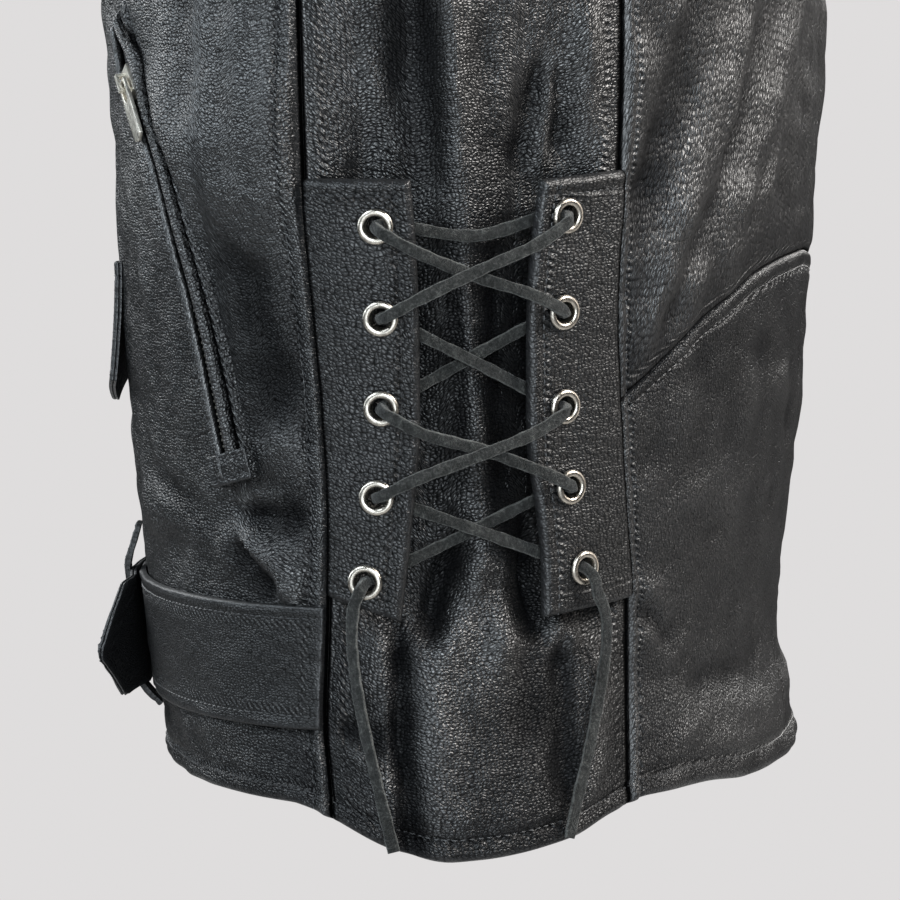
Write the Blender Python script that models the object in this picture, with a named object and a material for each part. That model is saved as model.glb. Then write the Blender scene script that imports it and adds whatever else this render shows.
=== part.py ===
"""Leather motorcycle jacket with laced sides. Each cut panel, flap, strap and metal piece is its own solid.

Frame: +Z up, the wearer faces -Y and the wearer's left is +X. Heights are measured up from the hem and
arcs along the cloth, in metres. Left pieces are built first and right pieces are their mirror in X.
"""

import bisect
import math
from collections import namedtuple
from functools import lru_cache

import bmesh
import bpy
from mathutils import Matrix, Vector

for old_object in list(bpy.data.objects):
    bpy.data.objects.remove(old_object, do_unlink=True)

# Driving sizes

HELD_HEIGHT = 0.605
LEATHER = 0.0022
SEAM_GAP = 0.0003
NECK_HEIGHT = 0.628
NECK_HALF = 0.070
ARMPIT = 0.395
ZIP_TOP = 0.355
ZIP_HALF = 0.0045
ZIP_FOOT_X = -0.020
ZIP_LEAN = -0.052

FLAP_THICK = 0.0030
FLAP_LIFT = 0.0010
FLAP_RISE = 0.0030
EYELET_SIDES = 8
EYELET_HOLE = 0.0049
LACE_RADIUS = 0.0022
LACE_END_PART = 0.0004
LACE_PART = -0.0002

BELT_LOW = 0.0395
BELT_HIGH = 0.0845
BELT_THICK = 0.0026
BELT_LIFT = 0.0008
TRIM_LIFT = 0.0008

# Body rings: half width, reach to the front and to the back, squareness of the ring

Section = namedtuple("Section", "height half_width front back squareness")
BODY = [
    Section(-0.020, 0.2160, 0.1100, 0.1390, 2.00),
    Section(0.000, 0.2150, 0.1110, 0.1380, 2.00),
    Section(0.055, 0.2080, 0.1178, 0.1300, 2.03),
    Section(0.130, 0.2120, 0.1262, 0.1370, 2.06),
    Section(0.231, 0.2250, 0.1300, 0.1435, 2.10),
    Section(0.315, 0.2360, 0.1345, 0.1455, 2.14),
    Section(0.395, 0.2400, 0.1370, 0.1465, 2.25),
    Section(0.470, 0.2330, 0.1300, 0.1420, 2.40),
    Section(0.540, 0.2180, 0.1080, 0.1280, 2.40),
    Section(0.583, 0.2000, 0.0830, 0.1050, 2.30),
    Section(0.610, 0.1450, 0.0680, 0.0840, 2.20),
    Section(0.628, 0.0900, 0.0580, 0.0680, 2.00),
]

# Edges of the front and back as arcs from the side line, + to the back: side seams, armhole, shoulder

EdgeRow = namedtuple("EdgeRow", "height front rear")
PANEL_EDGES = [
    EdgeRow(-0.020, -0.0040, 0.1170),
    EdgeRow(0.000, -0.0040, 0.1170),
    EdgeRow(0.043, -0.0079, 0.1160),
    EdgeRow(0.085, -0.0063, 0.1147),
    EdgeRow(0.120, -0.0053, 0.1102),
    EdgeRow(0.157, -0.0064, 0.1070),
    EdgeRow(0.194, -0.0087, 0.1063),
    EdgeRow(0.236, -0.0105, 0.1100),
    EdgeRow(0.300, -0.0100, 0.1130),
    EdgeRow(0.350, -0.0170, 0.1050),
    EdgeRow(0.395, -0.0320, 0.0850),
    EdgeRow(0.420, -0.0720, 0.0960),
    EdgeRow(0.450, -0.0970, 0.1060),
    EdgeRow(0.480, -0.1060, 0.1120),
    EdgeRow(0.510, -0.1030, 0.1080),
    EdgeRow(0.540, -0.0800, 0.0900),
    EdgeRow(0.565, -0.0540, 0.0660),
    EdgeRow(0.576, -0.0320, 0.0400),
    EdgeRow(0.583, 0.0000, 0.0000),
]
SEAM_ROWS = [0.0, 0.022, 0.045, 0.065, 0.080, 0.098, 0.125, 0.1555]
SEAM_ROWS += [0.185, 0.215, 0.240, 0.262, 0.290, 0.320, 0.355]
WAIST_ROW = 7
ARMHOLE_ROWS = [row.height for row in PANEL_EDGES if row.height >= ARMPIT]
SHOULDER_ROWS = [0.597, 0.610, 0.620, 0.628]
FRONT_COLUMNS = 11
BACK_COLUMNS = 9
SIDE_COLUMNS = 9

# Hem line: height along the arc from the side line; the side panel hangs lowest

HemRow = namedtuple("HemRow", "arc height")
HEM_LINE = [
    HemRow(-0.3000, 0.0150),
    HemRow(-0.0900, 0.0139),
    HemRow(-0.0210, 0.0134),
    HemRow(-0.0050, 0.0089),
    HemRow(0.0180, -0.0015),
    HemRow(0.0400, -0.0066),
    HemRow(0.0560, -0.0058),
    HemRow(0.0870, -0.0012),
    HemRow(0.1070, 0.0050),
    HemRow(0.1300, 0.0090),
    HemRow(0.1650, 0.0088),
    HemRow(0.2100, 0.0050),
    HemRow(0.3000, 0.0030),
]
HEM_FADE = 0.06

# Seam between the upper and the lower back: height along the arc from the side line

SeamRow = namedtuple("SeamRow", "arc height")
WAIST_SEAM = [
    SeamRow(0.1070, 0.1555),
    SeamRow(0.1205, 0.1630),
    SeamRow(0.1365, 0.1725),
    SeamRow(0.1585, 0.1850),
    SeamRow(0.1800, 0.1935),
    SeamRow(0.2095, 0.2030),
    SeamRow(0.2530, 0.2090),
    SeamRow(0.2890, 0.2110),
]

# Largest folds: a line from one point to another (arc, height), its half width and its rise out of the cloth

Fold = namedtuple("Fold", "arc0 height0 arc1 height1 half_width rise")
FOLDS = [
    Fold(0.1368, 0.2118, 0.1985, 0.3050, 0.014, 0.0040),
    Fold(0.1758, 0.2116, 0.2547, 0.3080, 0.013, 0.0035),
    Fold(0.1268, 0.2361, 0.1547, 0.2994, 0.010, -0.0035),
    Fold(0.1604, 0.2150, 0.2121, 0.3057, 0.010, -0.0030),
    Fold(0.1550, 0.0256, 0.2700, 0.0285, 0.010, 0.0020),
    Fold(-0.0380, 0.2900, -0.0400, 0.2350, 0.024, 0.0035),
    Fold(-0.1190, 0.1158, -0.0350, 0.1020, 0.010, 0.0030),
    Fold(-0.0900, 0.1000, -0.0300, 0.1180, 0.012, -0.0025),
]

# Side panel: depth behind the lacing, its middle ridge, the puff under it and the gathers above it

LACED_SINK = 0.0120
LACED_RIDGE = 0.0076
HEM_PUFF = 0.0060
GATHER_RIDGE = 0.0030
GATHER_TROUGH = 0.0035

# Lacing: flap free edges and eyelets as (height, arc)

FlapRow = namedtuple("FlapRow", "height front_edge rear_edge")
FLAP_ROWS = [
    FlapRow(0.0800, 0.0203, 0.0708),
    FlapRow(0.0980, 0.0226, 0.0708),
    FlapRow(0.1160, 0.0247, 0.0692),
    FlapRow(0.1450, 0.0277, 0.0655),
    FlapRow(0.1700, 0.0284, 0.0658),
    FlapRow(0.1940, 0.0288, 0.0667),
    FlapRow(0.2170, 0.0284, 0.0693),
    FlapRow(0.2370, 0.0274, 0.0725),
]
FlapSlope = namedtuple("FlapSlope", "low high")
FRONT_SLOPE = FlapSlope(0.0085, 0.0)
REAR_SLOPE = FlapSlope(0.0040, 0.0035)
EyeletPlace = namedtuple("EyeletPlace", "height arc")
FRONT_EYELETS = [
    EyeletPlace(0.2208, 0.0154),
    EyeletPlace(0.1887, 0.0160),
    EyeletPlace(0.1568, 0.0152),
    EyeletPlace(0.1248, 0.0129),
    EyeletPlace(0.0943, 0.0085),
]
REAR_EYELETS = [
    EyeletPlace(0.2245, 0.0821),
    EyeletPlace(0.1904, 0.0800),
    EyeletPlace(0.1566, 0.0797),
    EyeletPlace(0.1273, 0.0818),
    EyeletPlace(0.0975, 0.0878),
]

EyeletRow = namedtuple("EyeletRow", "radius along")
EYELET_PROFILE = [
    EyeletRow(0.0037, -0.0018),
    EyeletRow(0.0044, -0.0018),
    EyeletRow(0.0044, 0.0019),
    EyeletRow(0.0064, 0.0019),
    EyeletRow(0.0055, 0.0029),
    EyeletRow(0.0038, 0.0027),
]

# Lace: order of the eyelets, the face each stretch runs on and its level over the body at mid gap

Stretch = namedtuple("Stretch", "start end face level sag")
LACE_ROUTE = [
    Stretch("F5", "R4", -1, -0.0018, 0.0),
    Stretch("R4", "F3", 1, 0.0080, 0.0),
    Stretch("F3", "R2", -1, -0.0018, 0.0),
    Stretch("R2", "F1", 1, 0.0068, 0.0020),
    Stretch("F1", "R1", -1, -0.0010, 0.0060),
    Stretch("R1", "F2", 1, 0.0118, 0.0),
    Stretch("F2", "R3", -1, 0.0030, 0.0),
    Stretch("R3", "F4", 1, 0.0130, 0.0),
    Stretch("F4", "R5", -1, 0.0030, 0.0),
]
BendPoint = namedtuple("BendPoint", "along out")
FRONT_BEND = [
    BendPoint(0.0000, 0.0015),
    BendPoint(0.0009, 0.0034),
    BendPoint(0.0024, 0.0051),
    BendPoint(0.0050, 0.0060),
    BendPoint(0.0185, 0.0048),
]
BACK_BEND = [
    BendPoint(0.0000, -0.0013),
    BendPoint(0.0009, -0.0027),
    BendPoint(0.0026, -0.0043),
    BendPoint(0.0055, -0.0048),
]
END_ON_CLOTH = 0.070
EndPoint = namedtuple("EndPoint", "height arc out")
FRONT_END = [
    EndPoint(0.0860, 0.0050, 0.0094),
    EndPoint(0.0770, 0.0041, 0.0085),
    EndPoint(0.0665, 0.0041, 0.0060),
    EndPoint(0.0473, 0.0066, 0.0040),
    EndPoint(0.0227, 0.0125, 0.0036),
    EndPoint(-0.0020, 0.0191, 0.0040),
]
REAR_END = [
    EndPoint(0.0890, 0.0910, 0.0094),
    EndPoint(0.0800, 0.0955, 0.0085),
    EndPoint(0.0662, 0.0978, 0.0058),
    EndPoint(0.0480, 0.0940, 0.0040),
    EndPoint(0.0321, 0.0902, 0.0038),
    EndPoint(0.0115, 0.0845, 0.0036),
    EndPoint(-0.0005, 0.0820, 0.0040),
]

# Pocket zip: its middle line as (height, arc); stations run from the bottom to the top

PocketRow = namedtuple("PocketRow", "height arc")
POCKET_LINE = [
    PocketRow(0.1345, -0.0465),
    PocketRow(0.1860, -0.0598),
    PocketRow(0.2400, -0.0800),
    PocketRow(0.2900, -0.1125),
]
POCKET_STATIONS = 12
POCKET_END = 0.045
WELT_HALF = 0.0085
WELT_THICK = 0.0016
SLOT_HALF = 0.0024
SLOT_PARTED = 0.0038
CHAIN_HALF = 0.0019
SLIDER_STATION = 0.89

# Zip slider as boxes (across, along, out), and the pull tab's outline and eye

Box = namedtuple("Box", "low high")
SLIDER_BODY = Box((-0.0046, -0.0055, 0.0004), (0.0046, 0.0055, 0.0032))
SLIDER_NECK = Box((-0.0016, -0.0040, -0.0022), (0.0016, 0.0040, 0.0025))
SLIDER_BRIDGE = [
    Box((-0.0011, 0.0024, 0.0030), (0.0011, 0.0036, 0.0064)),
    Box((-0.0011, -0.0036, 0.0030), (0.0011, -0.0024, 0.0064)),
    Box((-0.0011, -0.0036, 0.0058), (0.0011, 0.0036, 0.0068)),
]
PullPoint = namedtuple("PullPoint", "across along eye_across eye_along")
PULL_TAB = [
    PullPoint(0.0036, 0.0008, 0.0021, -0.0008),
    PullPoint(-0.0036, 0.0008, -0.0021, -0.0008),
    PullPoint(-0.0042, -0.0120, -0.0021, -0.0040),
    PullPoint(-0.0036, -0.0230, -0.0018, -0.0075),
    PullPoint(0.0000, -0.0245, 0.0000, -0.0080),
    PullPoint(0.0036, -0.0230, 0.0018, -0.0075),
    PullPoint(0.0042, -0.0120, 0.0021, -0.0040),
]
PULL_LEVEL = 0.0046
PULL_THICK = 0.0014

# Belt: lift of the right half's inner face near the buckle, and the free tip

StrapRow = namedtuple("StrapRow", "x lift")
HEEL_BAR = 0.004
HEEL_LEVEL = 0.0053
FRONT_BAR = -0.042
FRONT_LEVEL = 0.0092
STRAP_OVER = [
    StrapRow(-0.066, 0.0009),
    StrapRow(-0.053, 0.0010),
    StrapRow(-0.042, 0.0018),
    StrapRow(-0.030, 0.0040),
    StrapRow(-0.018, 0.0070),
    StrapRow(-0.007, 0.0093),
    StrapRow(0.004, 0.0102),
    StrapRow(0.014, 0.0090),
    StrapRow(0.026, 0.0062),
    StrapRow(0.038, 0.0046),
    StrapRow(0.050, 0.0044),
    StrapRow(0.062, 0.0044),
    StrapRow(0.074, 0.0044),
    StrapRow(0.085, 0.0044),
    StrapRow(0.095, 0.0046),
]
TipRow = namedtuple("TipRow", "x y top bottom")
BELT_TIP = [
    TipRow(0.1070, -0.1100, 0.0825, 0.0377),
    TipRow(0.1160, -0.1116, 0.0805, 0.0357),
    TipRow(0.1260, -0.1133, 0.0690, 0.0450),
    TipRow(0.1350, -0.1150, 0.0560, 0.0522),
]
BuckleRow = namedtuple("BuckleRow", "share drop")
BUCKLE_SIDE = [
    BuckleRow(0.00, 0.0050),
    BuckleRow(0.03, 0.0015),
    BuckleRow(0.11, 0.0000),
    BuckleRow(0.89, 0.0000),
    BuckleRow(0.97, 0.0015),
    BuckleRow(1.00, 0.0050),
]
BUCKLE_HALF = 0.0275
BUCKLE_BAR = 0.0021
PRONG_BAR = 0.0015
PRONG_HALF = 0.0024
ROLL_HALF = 0.0075
ROLL_SHIFT = 0.0125
BAR_HOLE = 0.0026
LOOP_X = 0.086
LOOP_HALF = 0.0070
LoopRow = namedtuple("LoopRow", "height lift")
LOOP_ROWS = [
    LoopRow(0.0300, 0.0),
    LoopRow(0.0338, 0.5),
    LoopRow(0.0378, 0.95),
    LoopRow(0.0620, 1.0),
    LoopRow(0.0870, 0.95),
    LoopRow(0.0940, 0.45),
    LoopRow(0.1015, 0.0),
]

# Coin pocket flap on the left front

COIN_START = 0.042
COIN_END = 0.124
COIN_TOP = 0.2065
COIN_DROP = 0.046
COIN_POINT = 0.010
COIN_STAND = 0.0052
COIN_THICK = 0.0026

# Sleeve: distance from the armhole, half height, half depth and forward bend of each ring

SleeveRow = namedtuple("SleeveRow", "reach half_height half_depth forward")
SLEEVE_ROWS = [
    SleeveRow(0.000, 0.090, 0.090, 0.0),
    SleeveRow(0.040, 0.083, 0.085, 0.0),
    SleeveRow(0.090, 0.075, 0.078, 0.0),
    SleeveRow(0.150, 0.069, 0.072, 0.001),
    SleeveRow(0.225, 0.065, 0.066, 0.005),
    SleeveRow(0.300, 0.064, 0.062, 0.012),
    SleeveRow(0.380, 0.058, 0.058, 0.032),
    SleeveRow(0.470, 0.052, 0.052, 0.062),
    SleeveRow(0.560, 0.047, 0.047, 0.098),
]
ARM_DROOP = math.radians(14)
ARM_FORWARD = math.radians(8)

# Lapels: fold line and free edge as (across the chest, height), from the top of the zip to the neck

LapelRow = namedtuple("LapelRow", "fold_x fold_height edge_x edge_height")
LEFT_LAPEL = [
    LapelRow(-0.055, 0.382, -0.046, 0.380),
    LapelRow(-0.034, 0.420, 0.018, 0.404),
    LapelRow(-0.010, 0.465, 0.085, 0.438),
    LapelRow(0.012, 0.505, 0.128, 0.470),
    LapelRow(0.034, 0.545, 0.138, 0.506),
    LapelRow(0.050, 0.574, 0.108, 0.548),
    LapelRow(0.061, 0.594, 0.088, 0.580),
]
RIGHT_LAPEL = [
    LapelRow(0.082, 0.382, 0.090, 0.380),
    LapelRow(0.081, 0.420, 0.118, 0.408),
    LapelRow(0.080, 0.465, 0.146, 0.440),
    LapelRow(0.079, 0.505, 0.164, 0.470),
    LapelRow(0.078, 0.545, 0.160, 0.506),
    LapelRow(0.077, 0.574, 0.124, 0.548),
    LapelRow(0.076, 0.592, 0.098, 0.580),
]

LAPEL_LIFT = 0.0014
LAPEL_ROLL = 0.0022

# Collar: stand profile, then the fall's length and its slope by the turn from the centre back, in degrees

StandRow = namedtuple("StandRow", "outward up")
COLLAR_STAND = [
    StandRow(0.000, 0.0008),
    StandRow(-0.002, 0.015),
    StandRow(0.001, 0.029),
    StandRow(0.008, 0.036),
    StandRow(0.016, 0.034),
]
FallRow = namedtuple("FallRow", "turn slope")
COLLAR_SLOPES = [FallRow(0, 80), FallRow(60, 62), FallRow(90, 46), FallRow(120, 62)]
COLLAR_FALL = 0.054
COLLAR_END = 118
COLLAR_COLUMNS = 17

# Curves through rows


def row_slopes(knots, values):
    """Slope at each knot that keeps the curve from overshooting."""
    rates = [(values[i + 1] - values[i]) / (knots[i + 1] - knots[i]) for i in range(len(knots) - 1)]
    slopes = [rates[0]]
    for before, after in zip(rates, rates[1:]):
        slopes.append(0.0 if before * after <= 0 else 2 * before * after / (before + after))
    slopes.append(rates[-1])
    return slopes


def smooth_value(knots, values, at):
    """Value at a place on the smooth curve through the knots, held at its ends."""
    at = min(max(at, knots[0]), knots[-1])
    i = min(max(bisect.bisect_right(knots, at) - 1, 0), len(knots) - 2)
    slopes = row_slopes(knots, values)
    width = knots[i + 1] - knots[i]
    t = (at - knots[i]) / width
    start = (1 + 2 * t) * (1 - t) ** 2 * values[i] + t * (1 - t) ** 2 * width * slopes[i]
    end = t * t * (3 - 2 * t) * values[i + 1] + t * t * (t - 1) * width * slopes[i + 1]
    return start + end


def table_value(table, key, column, at):
    return smooth_value([getattr(row, key) for row in table], [getattr(row, column) for row in table], at)


def ramp(start, end, at):
    """Smooth step from 0 at start to 1 at end."""
    t = min(max((at - start) / (end - start), 0.0), 1.0)
    return t * t * (3 - 2 * t)


def bump(middle, half_width, at):
    """Soft ridge of height 1."""
    return math.exp(-(((at - middle) / half_width) ** 2))


# Body surface


@lru_cache(maxsize=None)
def half_ring(height):
    """Left half of the ring from the centre front to the centre back, with arcs along it."""
    columns = ("half_width", "front", "back", "squareness")
    width, front, back, square = [table_value(BODY, "height", column, height) for column in columns]
    steps = 240
    points = []
    for i in range(steps + 1):
        turn = math.pi * i / steps
        side = max(math.sin(turn), 0.0) ** (2 / square)
        ahead = abs(math.cos(turn)) ** (2 / square)
        points.append((width * side, -front * ahead if math.cos(turn) > 0 else back * ahead))
    arcs = [0.0]
    for (x0, y0), (x1, y1) in zip(points, points[1:]):
        arcs.append(arcs[-1] + math.hypot(x1 - x0, y1 - y0))
    return arcs, points, arcs[steps // 2]


def side_line(height):
    return half_ring(round(height, 5))[2]


def ring_length(height):
    return half_ring(round(height, 5))[0][-1]


def plain_point(height, arc):
    """Point of the unfolded body, arc from the centre front, + to the wearer's left."""
    arcs, points, _ = half_ring(round(height, 5))
    mirror = 1 if arc >= 0 else -1
    arc = abs(arc)
    if arc > arcs[-1]:
        arc = 2 * arcs[-1] - arc
        mirror = -mirror
    i = min(max(bisect.bisect_right(arcs, arc) - 1, 0), len(arcs) - 2)
    t = (arc - arcs[i]) / (arcs[i + 1] - arcs[i])
    x = points[i][0] + t * (points[i + 1][0] - points[i][0])
    y = points[i][1] + t * (points[i + 1][1] - points[i][1])
    return Vector((mirror * x, y, height - HELD_HEIGHT))


def surface_normal(surface, height, arc):
    step = 0.002
    across = surface(height, arc + step) - surface(height, arc - step)
    up = surface(height + step, arc) - surface(height - step, arc)
    return across.cross(up).normalized()


def skin(height, arc, out=0.0):
    """Plain body point moved out along its normal."""
    return plain_point(height, arc) + out * surface_normal(plain_point, height, arc)


def arc_at_x(height, x):
    """Arc from the centre front to a place x across the chest."""
    arcs, points, middle = half_ring(round(height, 5))
    i = 0
    while points[i + 1][0] < abs(x) and arcs[i + 1] < middle:
        i += 1
    t = (abs(x) - points[i][0]) / max(points[i + 1][0] - points[i][0], 1e-9)
    return math.copysign(arcs[i] + min(t, 1.0) * (arcs[i + 1] - arcs[i]), x)


def side_arc(height, arc):
    """Arc from the side line of the half a place lies in."""
    full = ring_length(height)
    arc = abs(arc)
    if arc > full:
        arc = 2 * full - arc
    return arc - side_line(height)


def fold_rise(height, arc):
    """Sum of the folds at an arc from the side line."""
    total = 0.0
    for fold in FOLDS:
        run = fold.arc1 - fold.arc0
        climb = fold.height1 - fold.height0
        t = ((arc - fold.arc0) * run + (height - fold.height0) * climb) / (run * run + climb * climb)
        t = min(max(t, 0.0), 1.0)
        gap = math.hypot(arc - fold.arc0 - t * run, height - fold.height0 - t * climb)
        total += fold.rise * bump(0.0, fold.half_width, gap)
    return total


def hem_shift(height, arc):
    """Rise of the hem line over the level hem; it fades out upward."""
    return table_value(HEM_LINE, "arc", "height", arc) * max(0.0, 1 - height / HEM_FADE)


def carried_arc(height, lifted, arc):
    """Arc of the same place on a ring at another height, each quarter stretched evenly."""
    full = ring_length(height)
    side = side_line(height)
    new_full = ring_length(lifted)
    new_side = side_line(lifted)
    size = abs(arc)
    if size <= side:
        return math.copysign(size * new_side / side, arc)
    if size >= 2 * full - side:
        return math.copysign(2 * new_full - (2 * full - size) * new_side / side, arc)
    return math.copysign(new_full + (size - full) * (new_full - new_side) / (full - side), arc)


def on_cloth(height, arc, rise):
    """Body point with the hem line's shift, moved out by a rise."""
    shift = hem_shift(height, side_arc(height, arc))
    if not shift:
        return skin(height, arc, rise)
    return skin(height + shift, carried_arc(height, height + shift, arc), rise)


def cloth(height, arc):
    """Front or back cloth with its folds."""
    return on_cloth(height, arc, fold_rise(height, side_arc(height, arc)))


def edge_arc(height, column):
    return table_value(PANEL_EDGES, "height", column, height)


def side_rise(height, across):
    """Side panel's form between its seams: sunk behind the lacing, puffed under it, gathered above it."""
    laced = ramp(0.066, 0.092, height) * (1 - ramp(0.200, 0.330, height))
    hollow = ramp(0.0, 0.2, across) * (1 - ramp(0.8, 1.0, across))
    sunk = laced * (LACED_RIDGE * bump(0.485, 0.115, across) - LACED_SINK * hollow)
    under = ramp(-0.03, 0.02, height) * (1 - ramp(0.042, 0.076, height))
    puff = under * HEM_PUFF * math.sin(math.pi * across)
    above = ramp(0.245, 0.275, height) * (1 - ramp(0.33, 0.38, height))
    gather = above * (GATHER_RIDGE * bump(0.42, 0.07, across) - GATHER_TROUGH * bump(0.31, 0.07, across))
    return sunk + puff + gather


def side_cloth(height, arc):
    """Side panel cloth between the two side seams."""
    near = side_arc(height, arc)
    front = edge_arc(height, "front")
    rear = edge_arc(height, "rear")
    across = min(max((near - front) / (rear - front), 0.0), 1.0)
    return on_cloth(height, arc, fold_rise(height, near) + side_rise(height, across))


# Solids


def make_material(name, shade, roughness, metallic):
    """Principled material; the shade is given as a display colour."""
    material = bpy.data.materials.new(name)
    material.use_nodes = True
    bsdf = material.node_tree.nodes["Principled BSDF"]
    linear = [((v + 0.055) / 1.055) ** 2.4 if v > 0.04 else v / 12.92 for v in shade]
    bsdf.inputs["Base Color"].default_value = (*linear, 1.0)
    bsdf.inputs["Roughness"].default_value = roughness
    bsdf.inputs["Metallic"].default_value = metallic
    material.diffuse_color = (*linear, 1.0)
    return material


LEATHER_BLACK = make_material("leather_black", (0.17, 0.175, 0.185), 0.42, 0.0)
STRAP_BLACK = make_material("strap_black", (0.14, 0.14, 0.15), 0.40, 0.0)
LACE_GREY = make_material("lace_grey", (0.22, 0.23, 0.225), 0.75, 0.0)
NICKEL = make_material("nickel", (0.72, 0.69, 0.64), 0.28, 1.0)
ZIP_METAL = make_material("zip_metal", (0.70, 0.68, 0.62), 0.35, 1.0)


def add_solid(name, points, faces, material, mirror=False):
    """Named object from points and faces, its faces turned outward; mirrored in X for a right piece."""
    mesh = bpy.data.meshes.new(name)
    flip = -1 if mirror else 1
    mesh.from_pydata([(flip * p[0], p[1], p[2]) for p in points], [], faces)
    body = bmesh.new()
    body.from_mesh(mesh)
    bmesh.ops.recalc_face_normals(body, faces=body.faces)
    body.to_mesh(mesh)
    body.free()
    mesh.materials.append(material)
    made = bpy.data.objects.new(name, mesh)
    bpy.context.scene.collection.objects.link(made)
    return made


def wall(name, outer, inner, material, mirror=False):
    """Closed wall between two equal grids of points."""
    rows = len(outer)
    columns = len(outer[0])
    points = [p for row in outer for p in row] + [p for row in inner for p in row]
    back = rows * columns
    faces = []
    for r in range(rows - 1):
        for c in range(columns - 1):
            a = r * columns + c
            faces.append((a, a + 1, a + columns + 1, a + columns))
            faces.append((back + a, back + a + columns, back + a + columns + 1, back + a + 1))
    rim = [c for c in range(columns)]
    rim += [r * columns + columns - 1 for r in range(1, rows)]
    rim += [(rows - 1) * columns + c for c in range(columns - 2, -1, -1)]
    rim += [r * columns for r in range(rows - 2, 0, -1)]
    for a, b in zip(rim, rim[1:] + rim[:1]):
        faces.append((a, back + a, back + b, b))
    return add_solid(name, points, faces, material, mirror)


def band(name, outer_top, inner_top, outer_low, inner_low, material, mirror=False):
    """Closed frame between an outer and an inner loop, each given at the top and at the low face."""
    n = len(outer_top)
    points = outer_top + inner_top + outer_low + inner_low
    faces = []
    for i in range(n):
        j = (i + 1) % n
        faces.append((i, j, n + j, n + i))
        faces.append((2 * n + i, 3 * n + i, 3 * n + j, 2 * n + j))
        faces.append((i, 2 * n + i, 2 * n + j, j))
        faces.append((n + i, n + j, 3 * n + j, 3 * n + i))
    return add_solid(name, points, faces, material, mirror)


def tube(name, path, radius, material, mirror=False, sides=6, closed=False):
    """Round tube along a path, its rings turned as little as possible from one to the next."""
    count = len(path)
    tangents = []
    for i in range(count):
        before = path[i - 1] if i or closed else path[0]
        after = path[(i + 1) % count] if i < count - 1 or closed else path[-1]
        tangents.append((after - before).normalized())
    start = Vector((0, 0, 1))
    if abs(tangents[0].dot(start)) > 0.8:
        start = Vector((1, 0, 0))
    side = (start - tangents[0] * start.dot(tangents[0])).normalized()
    points = []
    for centre, tangent in zip(path, tangents):
        side = (side - tangent * side.dot(tangent)).normalized()
        other = tangent.cross(side)
        for k in range(sides):
            turn = 2 * math.pi * k / sides
            points.append(centre + radius * (math.cos(turn) * side + math.sin(turn) * other))
    faces = []
    for i in range(count if closed else count - 1):
        for k in range(sides):
            a = i * sides + k
            b = i * sides + (k + 1) % sides
            step = ((i + 1) % count) * sides - i * sides
            faces.append((a, b, b + step, a + step))
    if not closed:
        faces.append(tuple(range(sides)))
        faces.append(tuple((count - 1) * sides + k for k in range(sides)))
    return add_solid(name, points, faces, material, mirror)


def turned(name, profile, centre, axis, sides, material, mirror=False):
    """Closed ring turned from a profile of (radius, along the axis)."""
    start = Vector((0, 0, 1)) if abs(axis.z) < 0.8 else Vector((1, 0, 0))
    side = (start - axis * start.dot(axis)).normalized()
    other = axis.cross(side)
    points = []
    for k in range(sides):
        turn = 2 * math.pi * k / sides
        out = math.cos(turn) * side + math.sin(turn) * other
        points += [centre + radius * out + along * axis for radius, along in profile]
    n = len(profile)
    faces = []
    for k in range(sides):
        for i in range(n):
            a = k * n + i
            b = k * n + (i + 1) % n
            step = ((k + 1) % sides) * n - k * n
            faces.append((a, b, b + step, a + step))
    return add_solid(name, points, faces, material, mirror)


def block(name, frame, low, high, material, mirror=False):
    """Box between two corners (across, along, out) of a local frame."""
    corners = [(x, y, z) for z in (low[2], high[2]) for y in (low[1], high[1]) for x in (low[0], high[0])]
    points = [frame.origin + x * frame.across + y * frame.along + z * frame.out for x, y, z in corners]
    faces = [(0, 2, 3, 1), (4, 5, 7, 6), (0, 1, 5, 4), (2, 6, 7, 3), (0, 4, 6, 2), (1, 3, 7, 5)]
    return add_solid(name, points, faces, material, mirror)


def combine(target, tool, operation):
    """Join or cut a solid with another and drop the other."""
    modifier = target.modifiers.new(operation.lower(), "BOOLEAN")
    modifier.operation = operation
    modifier.solver = "EXACT"
    modifier.object = tool
    bpy.context.view_layer.update()
    graph = bpy.context.evaluated_depsgraph_get()
    mesh = bpy.data.meshes.new_from_object(target.evaluated_get(graph))
    target.modifiers.clear()
    mesh.materials.clear()
    mesh.materials.append(target.data.materials[0])
    target.data = mesh
    mesh.name = target.name
    for face in mesh.polygons:
        face.material_index = 0
    bpy.data.objects.remove(tool, do_unlink=True)
    return target


Frame = namedtuple("Frame", "origin across along out")


def evenly(start, end, count):
    return [start + (end - start) * i / (count - 1) for i in range(count)]


# Body panels


def cloth_wall(name, surface, places, material, mirror=False):
    """Wall whose outer face is the surface at a grid of (height, arc) places."""
    outer = [[surface(height, arc) for height, arc in row] for row in places]
    inner = [
        [p - LEATHER * surface_normal(surface, height, arc) for p, (height, arc) in zip(points, row)]
        for points, row in zip(outer, places)
    ]
    return wall(name, outer, inner, material, mirror)


def zip_x(height):
    """Place of the front zip's middle line across the chest."""
    return ZIP_FOOT_X + ZIP_LEAN * height / ZIP_TOP


def front_inner_x(height, left):
    """Inner edge of a front: along the zip, then the open neckline. The right one is seen mirrored."""
    half = ZIP_HALF + SEAM_GAP
    if height <= ZIP_TOP:
        return zip_x(height) + half if left else half - zip_x(height)
    t = (height - ZIP_TOP) / (NECK_HEIGHT - ZIP_TOP)
    start = zip_x(ZIP_TOP) + half if left else half - zip_x(ZIP_TOP)
    return start + (NECK_HALF - start) * t


def front_places(left):
    places = []
    for height in SEAM_ROWS + ARMHOLE_ROWS + SHOULDER_ROWS:
        outer = side_line(height) + edge_arc(height, "front") - SEAM_GAP / 2
        inner = arc_at_x(height, front_inner_x(height, left))
        places.append([(height, arc) for arc in evenly(inner, outer, FRONT_COLUMNS)])
    return places


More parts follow.
